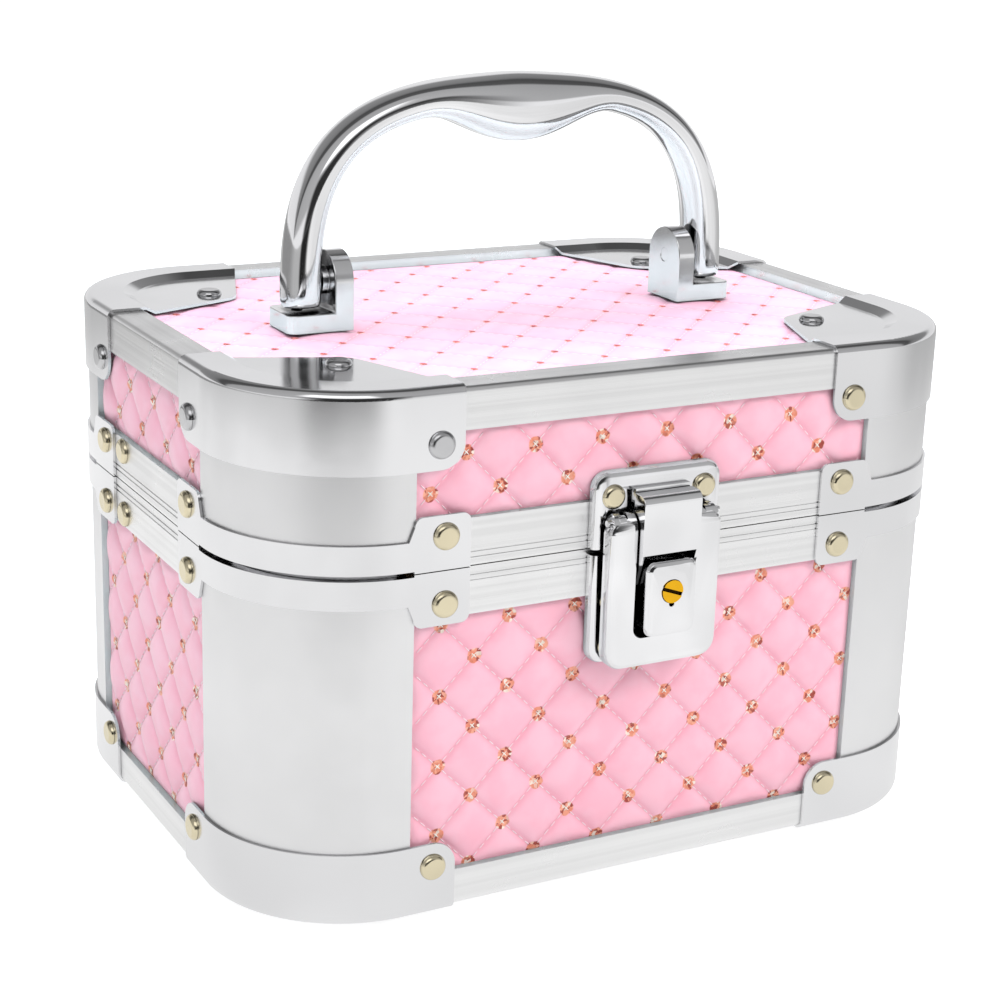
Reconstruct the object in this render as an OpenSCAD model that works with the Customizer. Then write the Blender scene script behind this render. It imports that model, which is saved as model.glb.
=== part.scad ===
// Small train case for make-up: quilted panels in aluminium rails, chromed corner caps,
// a key latch on the front, two hinges and folding lid stays at the back, and a swing handle.
// Millimetres, +Z up. The long front looks along -Y. The case rests on z = 0.

/* [Case] */
// Width over the rails' outer faces
case_w = 225; // [190:1:280]
// Depth over the rails' outer faces
case_d = 168; // [150:1:220]
// Height of the base, from the bottom rails' underside to the parting line
base_h = 96.9; // [88:0.1:130]
// Height of the lid, from the parting line to the top rails
lid_h = 47.7; // [44:0.1:70]
// Radius of the upright corners
corner_r = 40; // [37:0.5:42]
// Gap between the closed lid and the base
parting_gap = 0.3; // [0.2:0.05:0.5]

/* [Walls] */
// Thickness of the wall, floor and top boards
board_t = 3.2; // [2.6:0.1:4]
// Depth from the rails' outer face to the boards
skin_t = 2.8; // [2.6:0.1:3.4]
// Thickness of the lining
lining_t = 1; // [0.6:0.1:1.4]
// Depth from the top rails to the top board
top_recess = 3.6; // [3.5:0.1:4.2]
// Gap left by glue and rivets between pieces that seat on each other
seat_gap = 0.05; // [0.03:0.01:0.08]

/* [Rails] */
// Thickness of the rails' plates
rail_t = 1.2; // [1:0.1:1.4]
// Outer radius of the top rails' rounded edge
rail_r = 1.5; // [1.4:0.1:3.4]
// Height of the top rails on the side
top_rail_h = 11.3; // [10:0.1:13]
// Width of the top rails on the top
top_rail_w = 9.9; // [9:0.1:11]
// Height of the bottom rails on the side
bottom_rail_h = 10.7; // [9:0.1:13]
// Outer radius of the bottom rails' edge
bottom_rail_r = 2; // [1.6:0.1:3]
// Height of the lid's rim rails
lid_rim_h = 13; // [12.6:0.1:15]
// Height of the base's rim rails
base_rim_h = 13.3; // [12.6:0.1:15]
// Height of the base rim's tongue above the parting line
tongue_h = 1.8; // [1.2:0.1:2]
// Thickness of the tongue
tongue_t = 1.2; // [1:0.1:1.4]
// Distance from the case's side to the edge of a corner column
column_in = 41.9; // [41.5:0.1:44]

/* [Corner hardware] */
// Thickness of the chromed sheet
sheet_t = 0.8; // [0.6:0.05:1]
// Length of a top cap along each side
cap_leg = 55; // [54:0.5:60]
// Distance from the case's side to a cap's side rivet
cap_rivet_in = 48.35; // [47:0.05:49]
// Depth of a top cap's side wall below the rail's top
cap_side = 20.8; // [20:0.1:24]
// Distance from both sides to the rivet on a cap's flange
flange_rivet_in = 36.7; // [35:0.1:38]
// Radius of the flange's lobe round its rivet
lobe_r = 8; // [6:0.1:9]
// How far the top flange steps down on to the top panel
flange_step = 1.7; // [1.5:0.1:1.8]
// Height of a bottom cap's side wall above the rail's underside
foot_cap_side = 20; // [18:0.1:22]
// Length of a rim strip along each side
strip_leg = 57.3; // [56:0.1:60]
// Height of the narrow part of a rim strip
strip_h = 8.6; // [7:0.1:10]
// Height of a rim strip's ears
ear_h = 14.9; // [14:0.1:16]
// Distance from the case's side to the inner edge of an ear
ear_in = 41.3; // [41:0.1:43]
// Distance from the case's side to an ear's rivet
ear_rivet_in = 50.2; // [49.5:0.1:51]
// Height of an ear's rivet from the parting line
ear_rivet_z = 9.2; // [9:0.1:9.6]
// Extra gap between the rim strips round the corners
corner_gap = 0.6; // [0.4:0.05:0.9]

/* [Rivets] */
// Diameter of a rivet's head
head_d = 7.4; // [6.5:0.1:8]
// Height of a rivet's head
head_h = 1.4; // [1.2:0.1:1.6]
// Diameter of a rivet's shank
shank_d = 3; // [2.6:0.1:3.2]
// Radial clearance of a shank in its hole
shank_fit = 0.1; // [0.05:0.01:0.15]

/* [Quilt] */
// Width of a diamond
quilt_x = 20.1; // [18:0.1:24]
// Width of a diamond on the left and right sides
quilt_side_x = 19.6; // [18:0.1:24]
// Height of a diamond
quilt_z = 20; // [18:0.1:24]
// Thickness of a side panel on its stitch lines
quilt_valley = 0.8; // [0.6:0.05:1]
// Rise of a side panel's pillows over its stitch lines
quilt_crown = 1.8; // [1:0.05:1.9]
// Rise of the top panel's pillows over its stitch lines
top_crown = 0.9; // [0.6:0.05:0.95]
// Thickness of a panel's pressed margin, under its stitch lines
margin_t = 0.75; // [0.6:0.05:0.75]
// Width of a panel's margin that is tucked behind the rails
tuck = 1.6; // [1:0.1:1.7]

/* [Handle] */
// Distance from the case's side to the middle of a handle leg
leg_in = 45.9; // [44.9:0.1:46.5]
// Rise of the handle's centre line over its feet
arch_h = 56.5; // [50:0.5:62]
// Thickness of a leg in the handle's plane
leg_t = 10.3; // [9.6:0.1:10.6]
// Width of a leg across the handle's plane
leg_w = 14; // [13:0.1:14.2]
// Thickness of the grip in the handle's plane
grip_t = 18.3; // [16:0.1:20]
// Width of the grip across the handle's plane
grip_w = 21.4; // [18:0.1:23]
// How far the grip's centre line drops below the arch
grip_drop = 2.2; // [1.5:0.1:3]
// Height of the handle's pivot over the top rails
pivot_up = 11.5; // [11.4:0.1:12.4]
// Diameter of the handle's pivot pins
handle_pin_d = 4; // [3.6:0.1:4.4]
// Radial clearance of the pins in the handle
pin_fit = 0.06; // [0.04:0.01:0.09]
// Thickness of a bracket's ear
bracket_ear_t = 5.6; // [5:0.1:6]
// Width of a bracket
bracket_w = 17; // [16:0.1:18]
// Thickness of a bracket's foot
bracket_foot_t = 5.2; // [4.8:0.1:5.4]
// Gap between an ear and the leg beside it
bracket_gap = 2; // [1.6:0.1:2.2]

/* [Latch] */
// Width of the latch's plates
plate_w = 39.6; // [38.6:0.1:41]
// Depth of the latch's plates in front of the rails
plate_t = 2.9; // [2.7:0.1:3]
// Height of the keeper plate
keeper_h = 21; // [20:0.1:24]
// Height of the latch's base plate
latch_plate_h = 31; // [30:0.1:33]
// Width of the lever
lever_w = 35; // [34.6:0.1:36]
// Width of the lever's opening
lever_gap = 18.7; // [18.7:0.1:19]
// Height of the lever's pivot over the parting line
lever_pivot_z = 8.2; // [8:0.1:8.3]
// Distance of the lever's pivot from the rails' face
lever_pivot_y = 5.6; // [5.5:0.1:5.8]
// Distance from the lever's pivot down to the hook's pivot
hook_drop = 16.4; // [16:0.1:16.8]
// Width of the hook
hook_w = 17.9; // [17.7:0.1:17.9]
// Reach of the hook's front from the rails' face
hook_reach = 10.6; // [10.4:0.1:11]
// Height of the hook's top over the parting line
hook_top_z = 15.6; // [15:0.1:16]
// Width of the lock's housing
housing_w = 15.5; // [15:0.1:15.6]
// Reach of the lock's housing from the rails' face
housing_reach = 12; // [11.6:0.1:12.6]
// Diameter of the key cylinder
cylinder_d = 6.4; // [6:0.1:6.8]
// Depth of the key cylinder's centre below the parting line
cylinder_z = 10.9; // [10.5:0.1:11.3]
// Tilt of the key slot at rest
slot_tilt = -20; // [-30:1:0]
// Travel of the lock's bolt
bolt_travel = 2.4; // [2:0.1:2.6]
// Diameter of the latch's pivot pins
latch_pin_d = 1.8; // [1.6:0.1:2]

/* [Hinges and stays] */
// Gap between a hinge and the ear of the corner strip beside it
hinge_ear_gap = 3.2; // [3:0.1:12]
// Width of a hinge
hinge_w = 32; // [28:1:34]
// Height of a hinge's leaf
hinge_leaf_h = 11; // [10:0.1:12]
// Thickness of a hinge's leaf
hinge_leaf_t = 1; // [0.8:0.1:1.2]
// Diameter of a hinge's knuckles
knuckle_d = 5; // [4.6:0.1:5.4]
// Diameter of a hinge's pin
hinge_pin_d = 2.4; // [2:0.1:2.6]
// How far the closed stays reach past the start of the front corners
stay_past = 3.45; // [1:0.05:4]
// Height of the stays' fixed pivots above and below the parting line
stay_pivot_z = 9.4; // [9.2:0.1:9.7]
// Width of a stay's link
link_w = 8; // [7:0.1:9]
// Thickness of a stay's link
link_t = 1.2; // [1:0.1:1.4]

/* [Mirror] */
// Width of the mirror in the lid
mirror_w = 130; // [100:1:140]
// Depth of the mirror in the lid
mirror_d = 82; // [60:1:90]
// Thickness of the mirror
mirror_t = 2; // [1.6:0.1:2.4]

/* [Hidden] */
$fn = 48;
eps = 0.01;

// heights
foot_lift = seat_gap + sheet_t + head_h;
rail_z0 = foot_lift;
part_z = rail_z0 + base_h;
top_z = part_z + lid_h;
half_gap = parting_gap / 2;
web_t = rail_t;
board_top_gap = 1.7;
lip_h = 9;
inner_lip_t = 1;
board_in = skin_t + board_t;
lining_in = board_in + seat_gap + lining_t;
floor_z = rail_z0 + rail_t + seat_gap;
groove_roof = tongue_h + 0.5;

// the case's middle, shifted so that the origin is under the middle of the whole object
knuckle_y = hinge_leaf_t + seat_gap + knuckle_d / 2 - hinge_leaf_t / 2;
back_reach = knuckle_y + knuckle_d / 2;
cylinder_proud = 0.4;
hinge_x = case_w / 2 - strip_leg - hinge_w / 2 - hinge_ear_gap;
stay_in = (case_d - corner_r + stay_past - knuckle_y) / 2;
leg_x = case_w / 2 - leg_in;
front_reach = housing_reach + cylinder_proud;
centre_y = (front_reach - back_reach) / 2;

// colours
chrome = [0.82, 0.83, 0.85];
satin = [0.74, 0.75, 0.76];
pink = [0.96, 0.66, 0.74];
nickel = [0.80, 0.77, 0.68];
gold = [0.93, 0.70, 0.16];
wood_brown = [0.60, 0.46, 0.32];
velvet = [0.12, 0.11, 0.12];

function arc_points(c, r, a0, a1, n) =
    [for (i = [0:n]) let(a = a0 + (a1 - a0) * i / n) [c[0] + r * cos(a), c[1] + r * sin(a)]];

// A frame on side k (0 front, 1 right, 2 back, 3 left): +X to the right seen from outside,
// y = 0 on the rails' outer face, +Y into the case.
module on_side(k) {
    translate([0, centre_y, 0]) rotate([0, 0, 90 * k])
        translate([0, -(k % 2 == 0 ? case_d : case_w) / 2, 0]) children();
}

// A frame at a corner: +X and +Y outwards, the origin on the corner's centre of curvature.
module at_corner(sx, sy) {
    translate([sx * (case_w / 2 - corner_r), centre_y + sy * (case_d / 2 - corner_r), 0])
        mirror([sx < 0 ? 1 : 0, 0, 0]) mirror([0, sy < 0 ? 1 : 0, 0]) children();
}

function side_len(k) = k % 2 == 0 ? case_w : case_d;

module round_rect(w, d, r) {
    square([w - 2 * r, d], center = true);
    square([w, d - 2 * r], center = true);
    for (x = [-1, 1], y = [-1, 1])
        translate([x * (w / 2 - r), y * (d / 2 - r)]) circle(r, $fn = 96);
}

// The case's outline, drawn in by a distance from the rails' face
module case_outline(inset) {
    translate([0, centre_y]) round_rect(case_w - 2 * inset, case_d - 2 * inset, corner_r - inset);
}

// A rounded rectangle of plate with a softened front edge, lying on z = 0
module soft_plate(w, h, t, r, edge) {
    hull() {
        linear_extrude(t - edge) round_rect_fine(w, h, r);
        linear_extrude(t - edge * 0.3) round_rect_fine(w - edge * 0.6, h - edge * 0.6, r - edge * 0.3);
        linear_extrude(t) round_rect_fine(w - edge * 2, h - edge * 2, r - edge);
    }
}

module round_rect_fine(w, h, r) {
    for (x = [-1, 1], y = [-1, 1])
        translate([x * (w / 2 - r), y * (h / 2 - r)]) circle(r, $fn = 32);
}

// ---- rivets --------------------------------------------------------------------------

// A rivet along +Z: z = 0 is under its head, the head is flat with a rounded rim
module rivet(shank_l, d = head_d, h = head_h) {
    flat_r = d / 2 - h;
    rotate_extrude($fn = 32) union() {
        square([flat_r, h]);
        translate([flat_r, 0]) intersection() {
            circle(h, $fn = 32);
            square(h);
        }
    }
    translate([0, 0, -shank_l]) cylinder(d = shank_d, h = shank_l + eps, $fn = 24);
}

// Holes for the shanks, along Z
module shank_hole(l) {
    translate([0, 0, -l]) cylinder(d = shank_d + 2 * shank_fit, h = 2 * l, $fn = 24);
}

// The two places along side k at a distance from the case's other sides
module both_ends(k, in) {
    for (s = [-1, 1]) translate([s * (side_len(k) / 2 - in), 0, 0]) children();
}

// Everything that pierces the base's sides, drawn by the child, a piece along +Y into the case
module base_side_rivet_places(rim, cap) {
    for (k = [0:3]) on_side(k) {
        if (rim) both_ends(k, ear_rivet_in) translate([0, 0, part_z - ear_rivet_z])
            rotate([90, 0, 0]) children();
        if (cap) both_ends(k, cap_rivet_in) translate([0, 0, foot_rivet_z])
            rotate([90, 0, 0]) children();
    }
}

module lid_side_rivet_places(rim, cap) {
    for (k = [0:3]) on_side(k) {
        if (rim) both_ends(k, ear_rivet_in) translate([0, 0, part_z + ear_rivet_z])
            rotate([90, 0, 0]) children();
        if (cap) both_ends(k, cap_rivet_in) translate([0, 0, cap_rivet_z])
            rotate([90, 0, 0]) children();
    }
}

cap_round = cap_leg - cap_rivet_in;
cap_rivet_z = top_z - cap_side + cap_round;
foot_rivet_z = rail_z0 + foot_cap_side - cap_round;
flange_u = corner_r - flange_rivet_in;

// The stays' fixed pivots on the left and right walls
module stay_pivot_places(z) {
    for (k = [1, 3]) on_side(k) translate([(k == 1 ? 1 : -1) * (case_d / 2 - stay_in), 0, z])
        rotate([90, 0, 0]) children();
}

shank_l = board_in - 0.1;
plate_head_d = 6;
plate_head_h = 0.9;
keeper_head_d = 6.8;
link_gap = 0.5;

module base_rivets() {
    color(nickel) {
        base_side_rivet_places(true, true) translate([0, 0, sheet_t + 2 * seat_gap]) rivet(shank_l + sheet_t);
        stay_pivot_places(part_z - stay_pivot_z) translate([0, 0, seat_gap]) stay_rivet(link_gap + link_t);
        on_side(0) latch_plate_rivet_places() translate([0, 0, plate_t + 2 * seat_gap])
            rivet(shank_l + plate_t, plate_head_d, plate_head_h);
        on_side(2) hinge_rivet_places(-1) translate([0, 0, hinge_leaf_t + 2 * seat_gap])
            rivet(shank_l + hinge_leaf_t);
    }
}

module foot_rivets() {
    color(nickel) for (sx = [-1, 1], sy = [-1, 1]) at_corner(sx, sy)
        translate([flange_u, flange_u, head_h]) mirror([0, 0, 1])
            rivet(floor_z + board_t - head_h - 0.1);
}

module lid_rivets() {
    color(nickel) {
        lid_side_rivet_places(true, true) translate([0, 0, sheet_t + 2 * seat_gap]) rivet(shank_l + sheet_t);
        stay_pivot_places(part_z + stay_pivot_z) translate([0, 0, seat_gap])
            stay_rivet(2 * link_gap + 2 * link_t);
        for (sx = [-1, 1], sy = [-1, 1]) at_corner(sx, sy)
            translate([flange_u, flange_u, top_z + sheet_t + 2 * seat_gap - flange_step])
                rivet(top_recess + board_t + sheet_t - flange_step - 0.1);
        on_side(0) keeper_rivet_places() translate([0, 0, plate_t + 2 * seat_gap])
            rivet(shank_l + plate_t, keeper_head_d);
        on_side(2) hinge_rivet_places(1) translate([0, 0, hinge_leaf_t + 2 * seat_gap])
            rivet(shank_l + hinge_leaf_t);
    }
}

// A rivet that carries a stay's link on its inner end
module stay_rivet(reach) {
    l = lining_in + reach;
    rivet(l);
    translate([0, 0, -l - 0.8]) cylinder(d = shank_d + 2.4, h = 0.8 - link_free, $fn = 32);
    translate([0, 0, -l - link_free]) cylinder(d = shank_d, h = link_free + eps, $fn = 24);
}
link_free = 0.2;

module stay_rivet_holes(z) {
    stay_pivot_places(z) shank_hole(lining_in + 1);
}

// ---- boards and linings --------------------------------------------------------------

module base_side_holes() {
    base_side_rivet_places(true, true) shank_hole(2 * board_in);
    stay_rivet_holes(part_z - stay_pivot_z);
    on_side(0) latch_plate_rivet_places() shank_hole(2 * board_in);
    on_side(2) hinge_rivet_places(-1) shank_hole(2 * board_in);
}

module lid_side_holes() {
    lid_side_rivet_places(true, true) shank_hole(2 * board_in);
    stay_rivet_holes(part_z + stay_pivot_z);
    on_side(0) keeper_rivet_places() shank_hole(2 * board_in);
    on_side(2) hinge_rivet_places(1) shank_hole(2 * board_in);
}

module base_wall_board() {
    color(wood_brown) difference() {
        translate([0, 0, floor_z]) linear_extrude(part_z - board_top_gap - floor_z) difference() {
            case_outline(skin_t);
            case_outline(board_in);
        }
        base_side_holes();
    }
}

module base_floor_board() {
    color(wood_brown) difference() {
        translate([0, 0, floor_z]) linear_extrude(board_t) case_outline(board_in + seat_gap);
        for (sx = [-1, 1], sy = [-1, 1]) at_corner(sx, sy) translate([flange_u, flange_u, floor_z])
            shank_hole(2 * board_t);
    }
}

module base_lining() {
    z0 = floor_z + board_t + seat_gap;
    color(velvet) difference() {
        translate([0, 0, z0]) linear_extrude(part_z - half_gap - web_t - lip_h - seat_gap - z0)
            case_outline(board_in + seat_gap);
        translate([0, 0, z0 + lining_t]) linear_extrude(base_h) case_outline(lining_in);
        stay_rivet_holes(part_z - stay_pivot_z);
    }
}

top_board_z = top_z - top_recess - board_t;

module lid_wall_board() {
    z0 = part_z + half_gap + groove_roof + web_t + 0.1;
    color(wood_brown) difference() {
        translate([0, 0, z0]) linear_extrude(top_z - top_recess - z0) difference() {
            case_outline(skin_t);
            case_outline(board_in);
        }
        lid_side_holes();
    }
}

module lid_top_board() {
    color(wood_brown) difference() {
        translate([0, 0, top_board_z]) linear_extrude(board_t) case_outline(board_in + seat_gap);
        for (sx = [-1, 1], sy = [-1, 1]) at_corner(sx, sy)
            translate([flange_u, flange_u, top_z]) shank_hole(2 * board_in);
        bracket_screw_places() translate([0, 0, top_z]) cylinder(d = 3.2, h = 30, center = true, $fn = 24);
    }
}

module lid_lining() {
    z1 = top_board_z - seat_gap;
    z0 = part_z + half_gap + web_t + lip_h + seat_gap;
    color(velvet) difference() {
        translate([0, 0, z0]) linear_extrude(z1 - z0) case_outline(board_in + seat_gap);
        translate([0, 0, z0 - eps]) linear_extrude(z1 - lining_t - z0) case_outline(lining_in);
        stay_rivet_holes(part_z + stay_pivot_z);
    }
}

frame_edge = 5;
frame_t = 3;
lining_face_z = top_board_z - seat_gap - lining_t;

module mirror_frame() {
    color(velvet) difference() {
        translate([0, centre_y, lining_face_z - seat_gap - frame_t]) linear_extrude(frame_t)
            round_rect(mirror_w + 2 * frame_edge, mirror_d + 2 * frame_edge, frame_edge);
        translate([0, centre_y, lining_face_z - seat_gap - mirror_t - 0.1]) linear_extrude(frame_t)
            square([mirror_w + 0.2, mirror_d + 0.2], center = true);
        translate([0, centre_y, lining_face_z - 2 * frame_t]) linear_extrude(2 * frame_t)
            square([mirror_w - 3, mirror_d - 3], center = true);
    }
}

module mirror_glass() {
    color([0.8, 0.88, 0.9]) translate([0, centre_y, lining_face_z - seat_gap - mirror_t])
        linear_extrude(mirror_t) square([mirror_w, mirror_d], center = true);
}

// ---- rails ---------------------------------------------------------------------------

rail_bead = skin_t - rail_t - margin_t - 2 * seat_gap;
top_bead = top_recess - rail_t - margin_t - 2 * seat_gap;

// Edge rail section: x into the case from the face, y down from the top
module edge_section(h, w, r, bead) {
    difference() {
        union() {
            translate([0, -h]) square([rail_t, h - r]);
            translate([r, -rail_t]) square([w - r, rail_t]);
            translate([r, -r]) intersection() {
                difference() {
                    circle(r, $fn = 48);
                    circle(r - rail_t, $fn = 48);
                }
                translate([-r, 0]) square(r);
            }
        }
    }
    translate([rail_t - eps, -h]) square([rail_bead + eps, 1]);
    translate([w - rail_t, -rail_t - bead]) square([rail_t, bead + eps]);
}

// Base rim section: x into the case from the face, y up from the parting line
module base_rim_section() {
    top = -half_gap;
    difference() {
        translate([0, -base_rim_h]) square([rail_t, base_rim_h + top]);
        rim_grooves(-1);
    }
    translate([rail_t - eps, -base_rim_h]) square([rail_bead + eps, 1]);
    translate([0, top - web_t]) square([board_in + seat_gap + inner_lip_t, web_t]);
    translate([board_in + seat_gap, top - web_t - lip_h]) square([inner_lip_t, lip_h + eps]);
    translate([tongue_in, top - eps]) square([tongue_t, tongue_h + half_gap]);
}
tongue_in = 3.6;
tongue_side_gap = 0.4;

// Lid rim section, with the groove that takes the tongue
module lid_rim_section() {
    bottom = half_gap;
    wide = board_in + seat_gap + inner_lip_t;
    difference() {
        union() {
            translate([0, bottom]) square([wide, groove_roof + web_t]);
            translate([0, bottom]) square([rail_t, lid_rim_h - half_gap]);
            translate([rail_t - eps, lid_rim_h - 1]) square([rail_bead + eps, 1]);
            translate([board_in + seat_gap, bottom]) square([inner_lip_t, web_t + lip_h]);
        }
        translate([tongue_in - tongue_side_gap, -1])
            square([tongue_t + 2 * tongue_side_gap, 1 + bottom + groove_roof]);
        translate([rail_t, bottom + web_t]) square([tongue_in - tongue_side_gap - 2 * rail_t, groove_roof + 1]);
        rim_grooves(1);
    }
}

// Two fine lines along a rim rail's face
module rim_grooves(s) {
    for (i = [0, 1]) translate([-1, s * (groove_line_z + i * groove_line_step) - 0.25]) square([1.25, 0.5]);
}
groove_line_z = 2.4;
groove_line_step = 1.5;

// A section run along side k between the corner columns
module run_along(k) {
    l = side_len(k) - 2 * column_in - 0.2;
    on_side(k) translate([-l / 2, 0, 0]) rotate([90, 0, 90]) linear_extrude(l) children();
}

module base_rim_rails() {
    color(satin) for (k = [0:3]) difference() {
        translate([0, 0, part_z]) run_along(k) base_rim_section();
        base_side_holes();
    }
}

module lid_rim_rails() {
    color(satin) for (k = [0:3]) difference() {
        translate([0, 0, part_z]) run_along(k) lid_rim_section();
        lid_side_holes();
    }
}

module base_edge_rails() {
    color(satin) for (k = [0:3]) difference() {
        translate([0, 0, rail_z0]) run_along(k) mirror([0, 1]) edge_section(bottom_rail_h, top_rail_w, bottom_rail_r, 0);
        base_side_rivet_places(false, true) shank_hole(2 * board_in);
    }
}

module lid_edge_rails() {
    color(satin) for (k = [0:3])
        translate([0, 0, top_z]) run_along(k) edge_section(top_rail_h, top_rail_w, rail_r, top_bead);
}

// ---- corner columns ------------------------------------------------------------------

// A column: a bent plate that is thicker round the bend and laps the panels with its thin edges
module corner_column(h) {
    lap = column_in - corner_r;
    lap_t = skin_t - margin_t - 2 * seat_gap;
    rotate_extrude(angle = 90, $fn = 128) translate([corner_r - skin_t + seat_gap, 0])
        square([skin_t - seat_gap, h]);
    translate([corner_r - lap_t, -lap, 0]) cube([lap_t, lap, h]);
    translate([-lap, corner_r - lap_t, 0]) cube([lap, lap_t, h]);
}

module base_corner_columns() {
    z0 = rail_z0 + bottom_rail_r;
    color(satin) for (sx = [-1, 1], sy = [-1, 1]) at_corner(sx, sy)
        translate([0, 0, z0]) corner_column(part_z - board_top_gap - z0);
}

module lid_corner_columns() {
    z0 = part_z + board_top_gap;
    color(satin) for (sx = [-1, 1], sy = [-1, 1]) at_corner(sx, sy)
        translate([0, 0, z0]) corner_column(top_z - rail_r - z0);
}

// ---- quilted panels ------------------------------------------------------------------

shoulder_rise = 0.62;
function quilt_pitch(k) = [k % 2 == 0 ? quilt_x : quilt_side_x, quilt_z];
core_z = quilt_valley / 2;
function over(d) = max(d, 0);

// The middle of the diamond m, n of a quilt whose stitch lines cross at c
function diamond(m, n, p, c) = [c[0] + p[0] * (m + n) / 2, c[1] + p[1] * (m - n) / 2];
function diamond_shows(m, n, w, h, p, c) = let(d = diamond(m + 0.5, n + 0.5, p, c))
    2 * over(abs(d[0]) - w / 2) / p[0] + 2 * over(abs(d[1]) - h / 2) / p[1] < 0.95;

// Pillows between crossing stitch lines: each has four corners, four shoulders and a crest.
// With a flat crest a pillow has fewer faces.
module pillows(w, h, crown, p, c, flat_crest) {
    reach = ceil(w / p[0] + h / p[1]) + 2;
    cells = [for (m = [-reach:reach], n = [-reach:reach]) if (diamond_shows(m, n, w, h, p, c)) [m, n]];
    corners = [[0, 0], [1, 0], [1, 1], [0, 1]];
    step = [[0, -1], [1, 0], [0, 1], [-1, 0]];
    shoulder = flat_crest ? 0.85 : shoulder_rise;
    points = [for (q = cells) each concat(
        [for (k = corners) concat(diamond(q[0] + k[0], q[1] + k[1], p, c), core_z)],
        [for (k = corners) concat(diamond(q[0] + k[0], q[1] + k[1], p, c), quilt_valley)],
        [for (k = corners) concat(diamond(q[0] + 0.25 + k[0] / 2, q[1] + 0.25 + k[1] / 2, p, c),
            quilt_valley + crown * shoulder)],
        [concat(diamond(q[0] + 0.5, q[1] + 0.5, p, c), quilt_valley + crown)])];
    faces = [for (i = [0:len(cells) - 1]) let(s = 13 * i) each concat(
        [for (e = [0:3]) let(g = (e + 1) % 4) each concat([[s + 4 + e, s + 4 + g, s + 8 + g],
            [s + 4 + e, s + 8 + g, s + 8 + e]], flat_crest ? [] : [[s + 8 + e, s + 8 + g, s + 12]])],
        flat_crest ? [[s + 8, s + 9, s + 10], [s + 8, s + 10, s + 11]] : [],
        [[s + 3, s + 2, s + 1], [s + 3, s + 1, s]],
        [for (e = [0:3]) let(g = (e + 1) % 4, q = cells[i] + step[e])
            if (!diamond_shows(q[0], q[1], w, h, p, c)) each [[s + 4 + g, s + 4 + e, s + e],
                [s + 4 + g, s + e, s + g]]])];
    polyhedron(points = points, faces = faces, convexity = 6);
}

// A quilted panel on z = 0, crowned along +Z, with a flat margin that is tucked in all round
module quilt(w, h, crown, p, c, flat_crest = false) {
    linear_extrude(margin_t) square([w + 2 * tuck, h + 2 * tuck], center = true);
    intersection() {
        pillows(w, h, crown, p, c, flat_crest);
        translate([-w / 2, -h / 2, 0]) cube([w, h, 2 * (quilt_valley + crown)]);
    }
}

// A side panel between heights z0 and z1 on side k
module side_panel(k, z0, z1, p, c) {
    on_side(k) translate([0, skin_t - seat_gap, (z0 + z1) / 2]) rotate([90, 0, 0])
        quilt(side_len(k) - 2 * column_in, z1 - z0, quilt_crown, p, c);
}

base_panel_z0 = rail_z0 + bottom_rail_h;
base_panel_z1 = part_z - base_rim_h;
lid_panel_z0 = part_z + lid_rim_h;
lid_panel_z1 = top_z - top_rail_h;

// Where the stitch lines cross, from the middle of each panel
base_front_cross = [-1.8, -6.1];
base_side_cross = [3.1, -5.2];
lid_front_cross = [-5.6, -4.6];
lid_side_cross = [2.1, 4.4];
top_cross = [-1.4, 1.7];

module base_panel(k, c) {
    color(pink) difference() {
        side_panel(k, base_panel_z0, base_panel_z1, quilt_pitch(k), c);
        on_side(k) both_ends(k, cap_rivet_in) translate([0, 0, foot_rivet_z]) rotate([90, 0, 0])
            shank_hole(2 * board_in);
        if (k == 0) on_side(0) latch_plate_rivet_places() shank_hole(2 * board_in);
    }
}
module base_panel_front() { base_panel(0, base_front_cross); }
module base_panel_right() { base_panel(1, base_side_cross); }
module base_panel_back() { base_panel(2, base_front_cross); }
module base_panel_left() { base_panel(3, base_side_cross); }

module lid_panel(k, c) {
    color(pink) difference() {
        side_panel(k, lid_panel_z0, lid_panel_z1, quilt_pitch(k), c);
        on_side(k) both_ends(k, cap_rivet_in) translate([0, 0, cap_rivet_z]) rotate([90, 0, 0])
            shank_hole(2 * board_in);
        if (k == 0) on_side(0) keeper_rivet_places() shank_hole(2 * board_in);
    }
}
module lid_panel_front() { lid_panel(0, lid_front_cross); }
module lid_panel_right() { lid_panel(1, lid_side_cross); }
module lid_panel_back() { lid_panel(2, lid_front_cross); }
module lid_panel_left() { lid_panel(3, lid_side_cross); }

module lid_top_panel() {
    color(pink) difference() {
        translate([0, centre_y, top_z - top_recess + seat_gap])
            quilt(case_w - 2 * top_rail_w, case_d - 2 * top_rail_w, top_crown, quilt_pitch(0), top_cross, true);
        for (sx = [-1, 1], sy = [-1, 1]) at_corner(sx, sy) translate([0, 0, top_z - top_recess - 1])
            linear_extrude(top_recess + 2) difference() {
                square(corner_r);
                circle(corner_r - top_rail_w + 1, $fn = 96);
            }
        for (sx = [-1, 1], sy = [-1, 1]) at_corner(sx, sy) translate([flange_u, flange_u, top_z])
            shank_hole(board_in);
        bracket_screw_places() translate([0, 0, top_z]) cylinder(d = 3.2, h = 30, center = true, $fn = 24);
    }
}
// ---- corner caps ---------------------------------------------------------------------

cap_r = corner_r + seat_gap + sheet_t;

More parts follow.
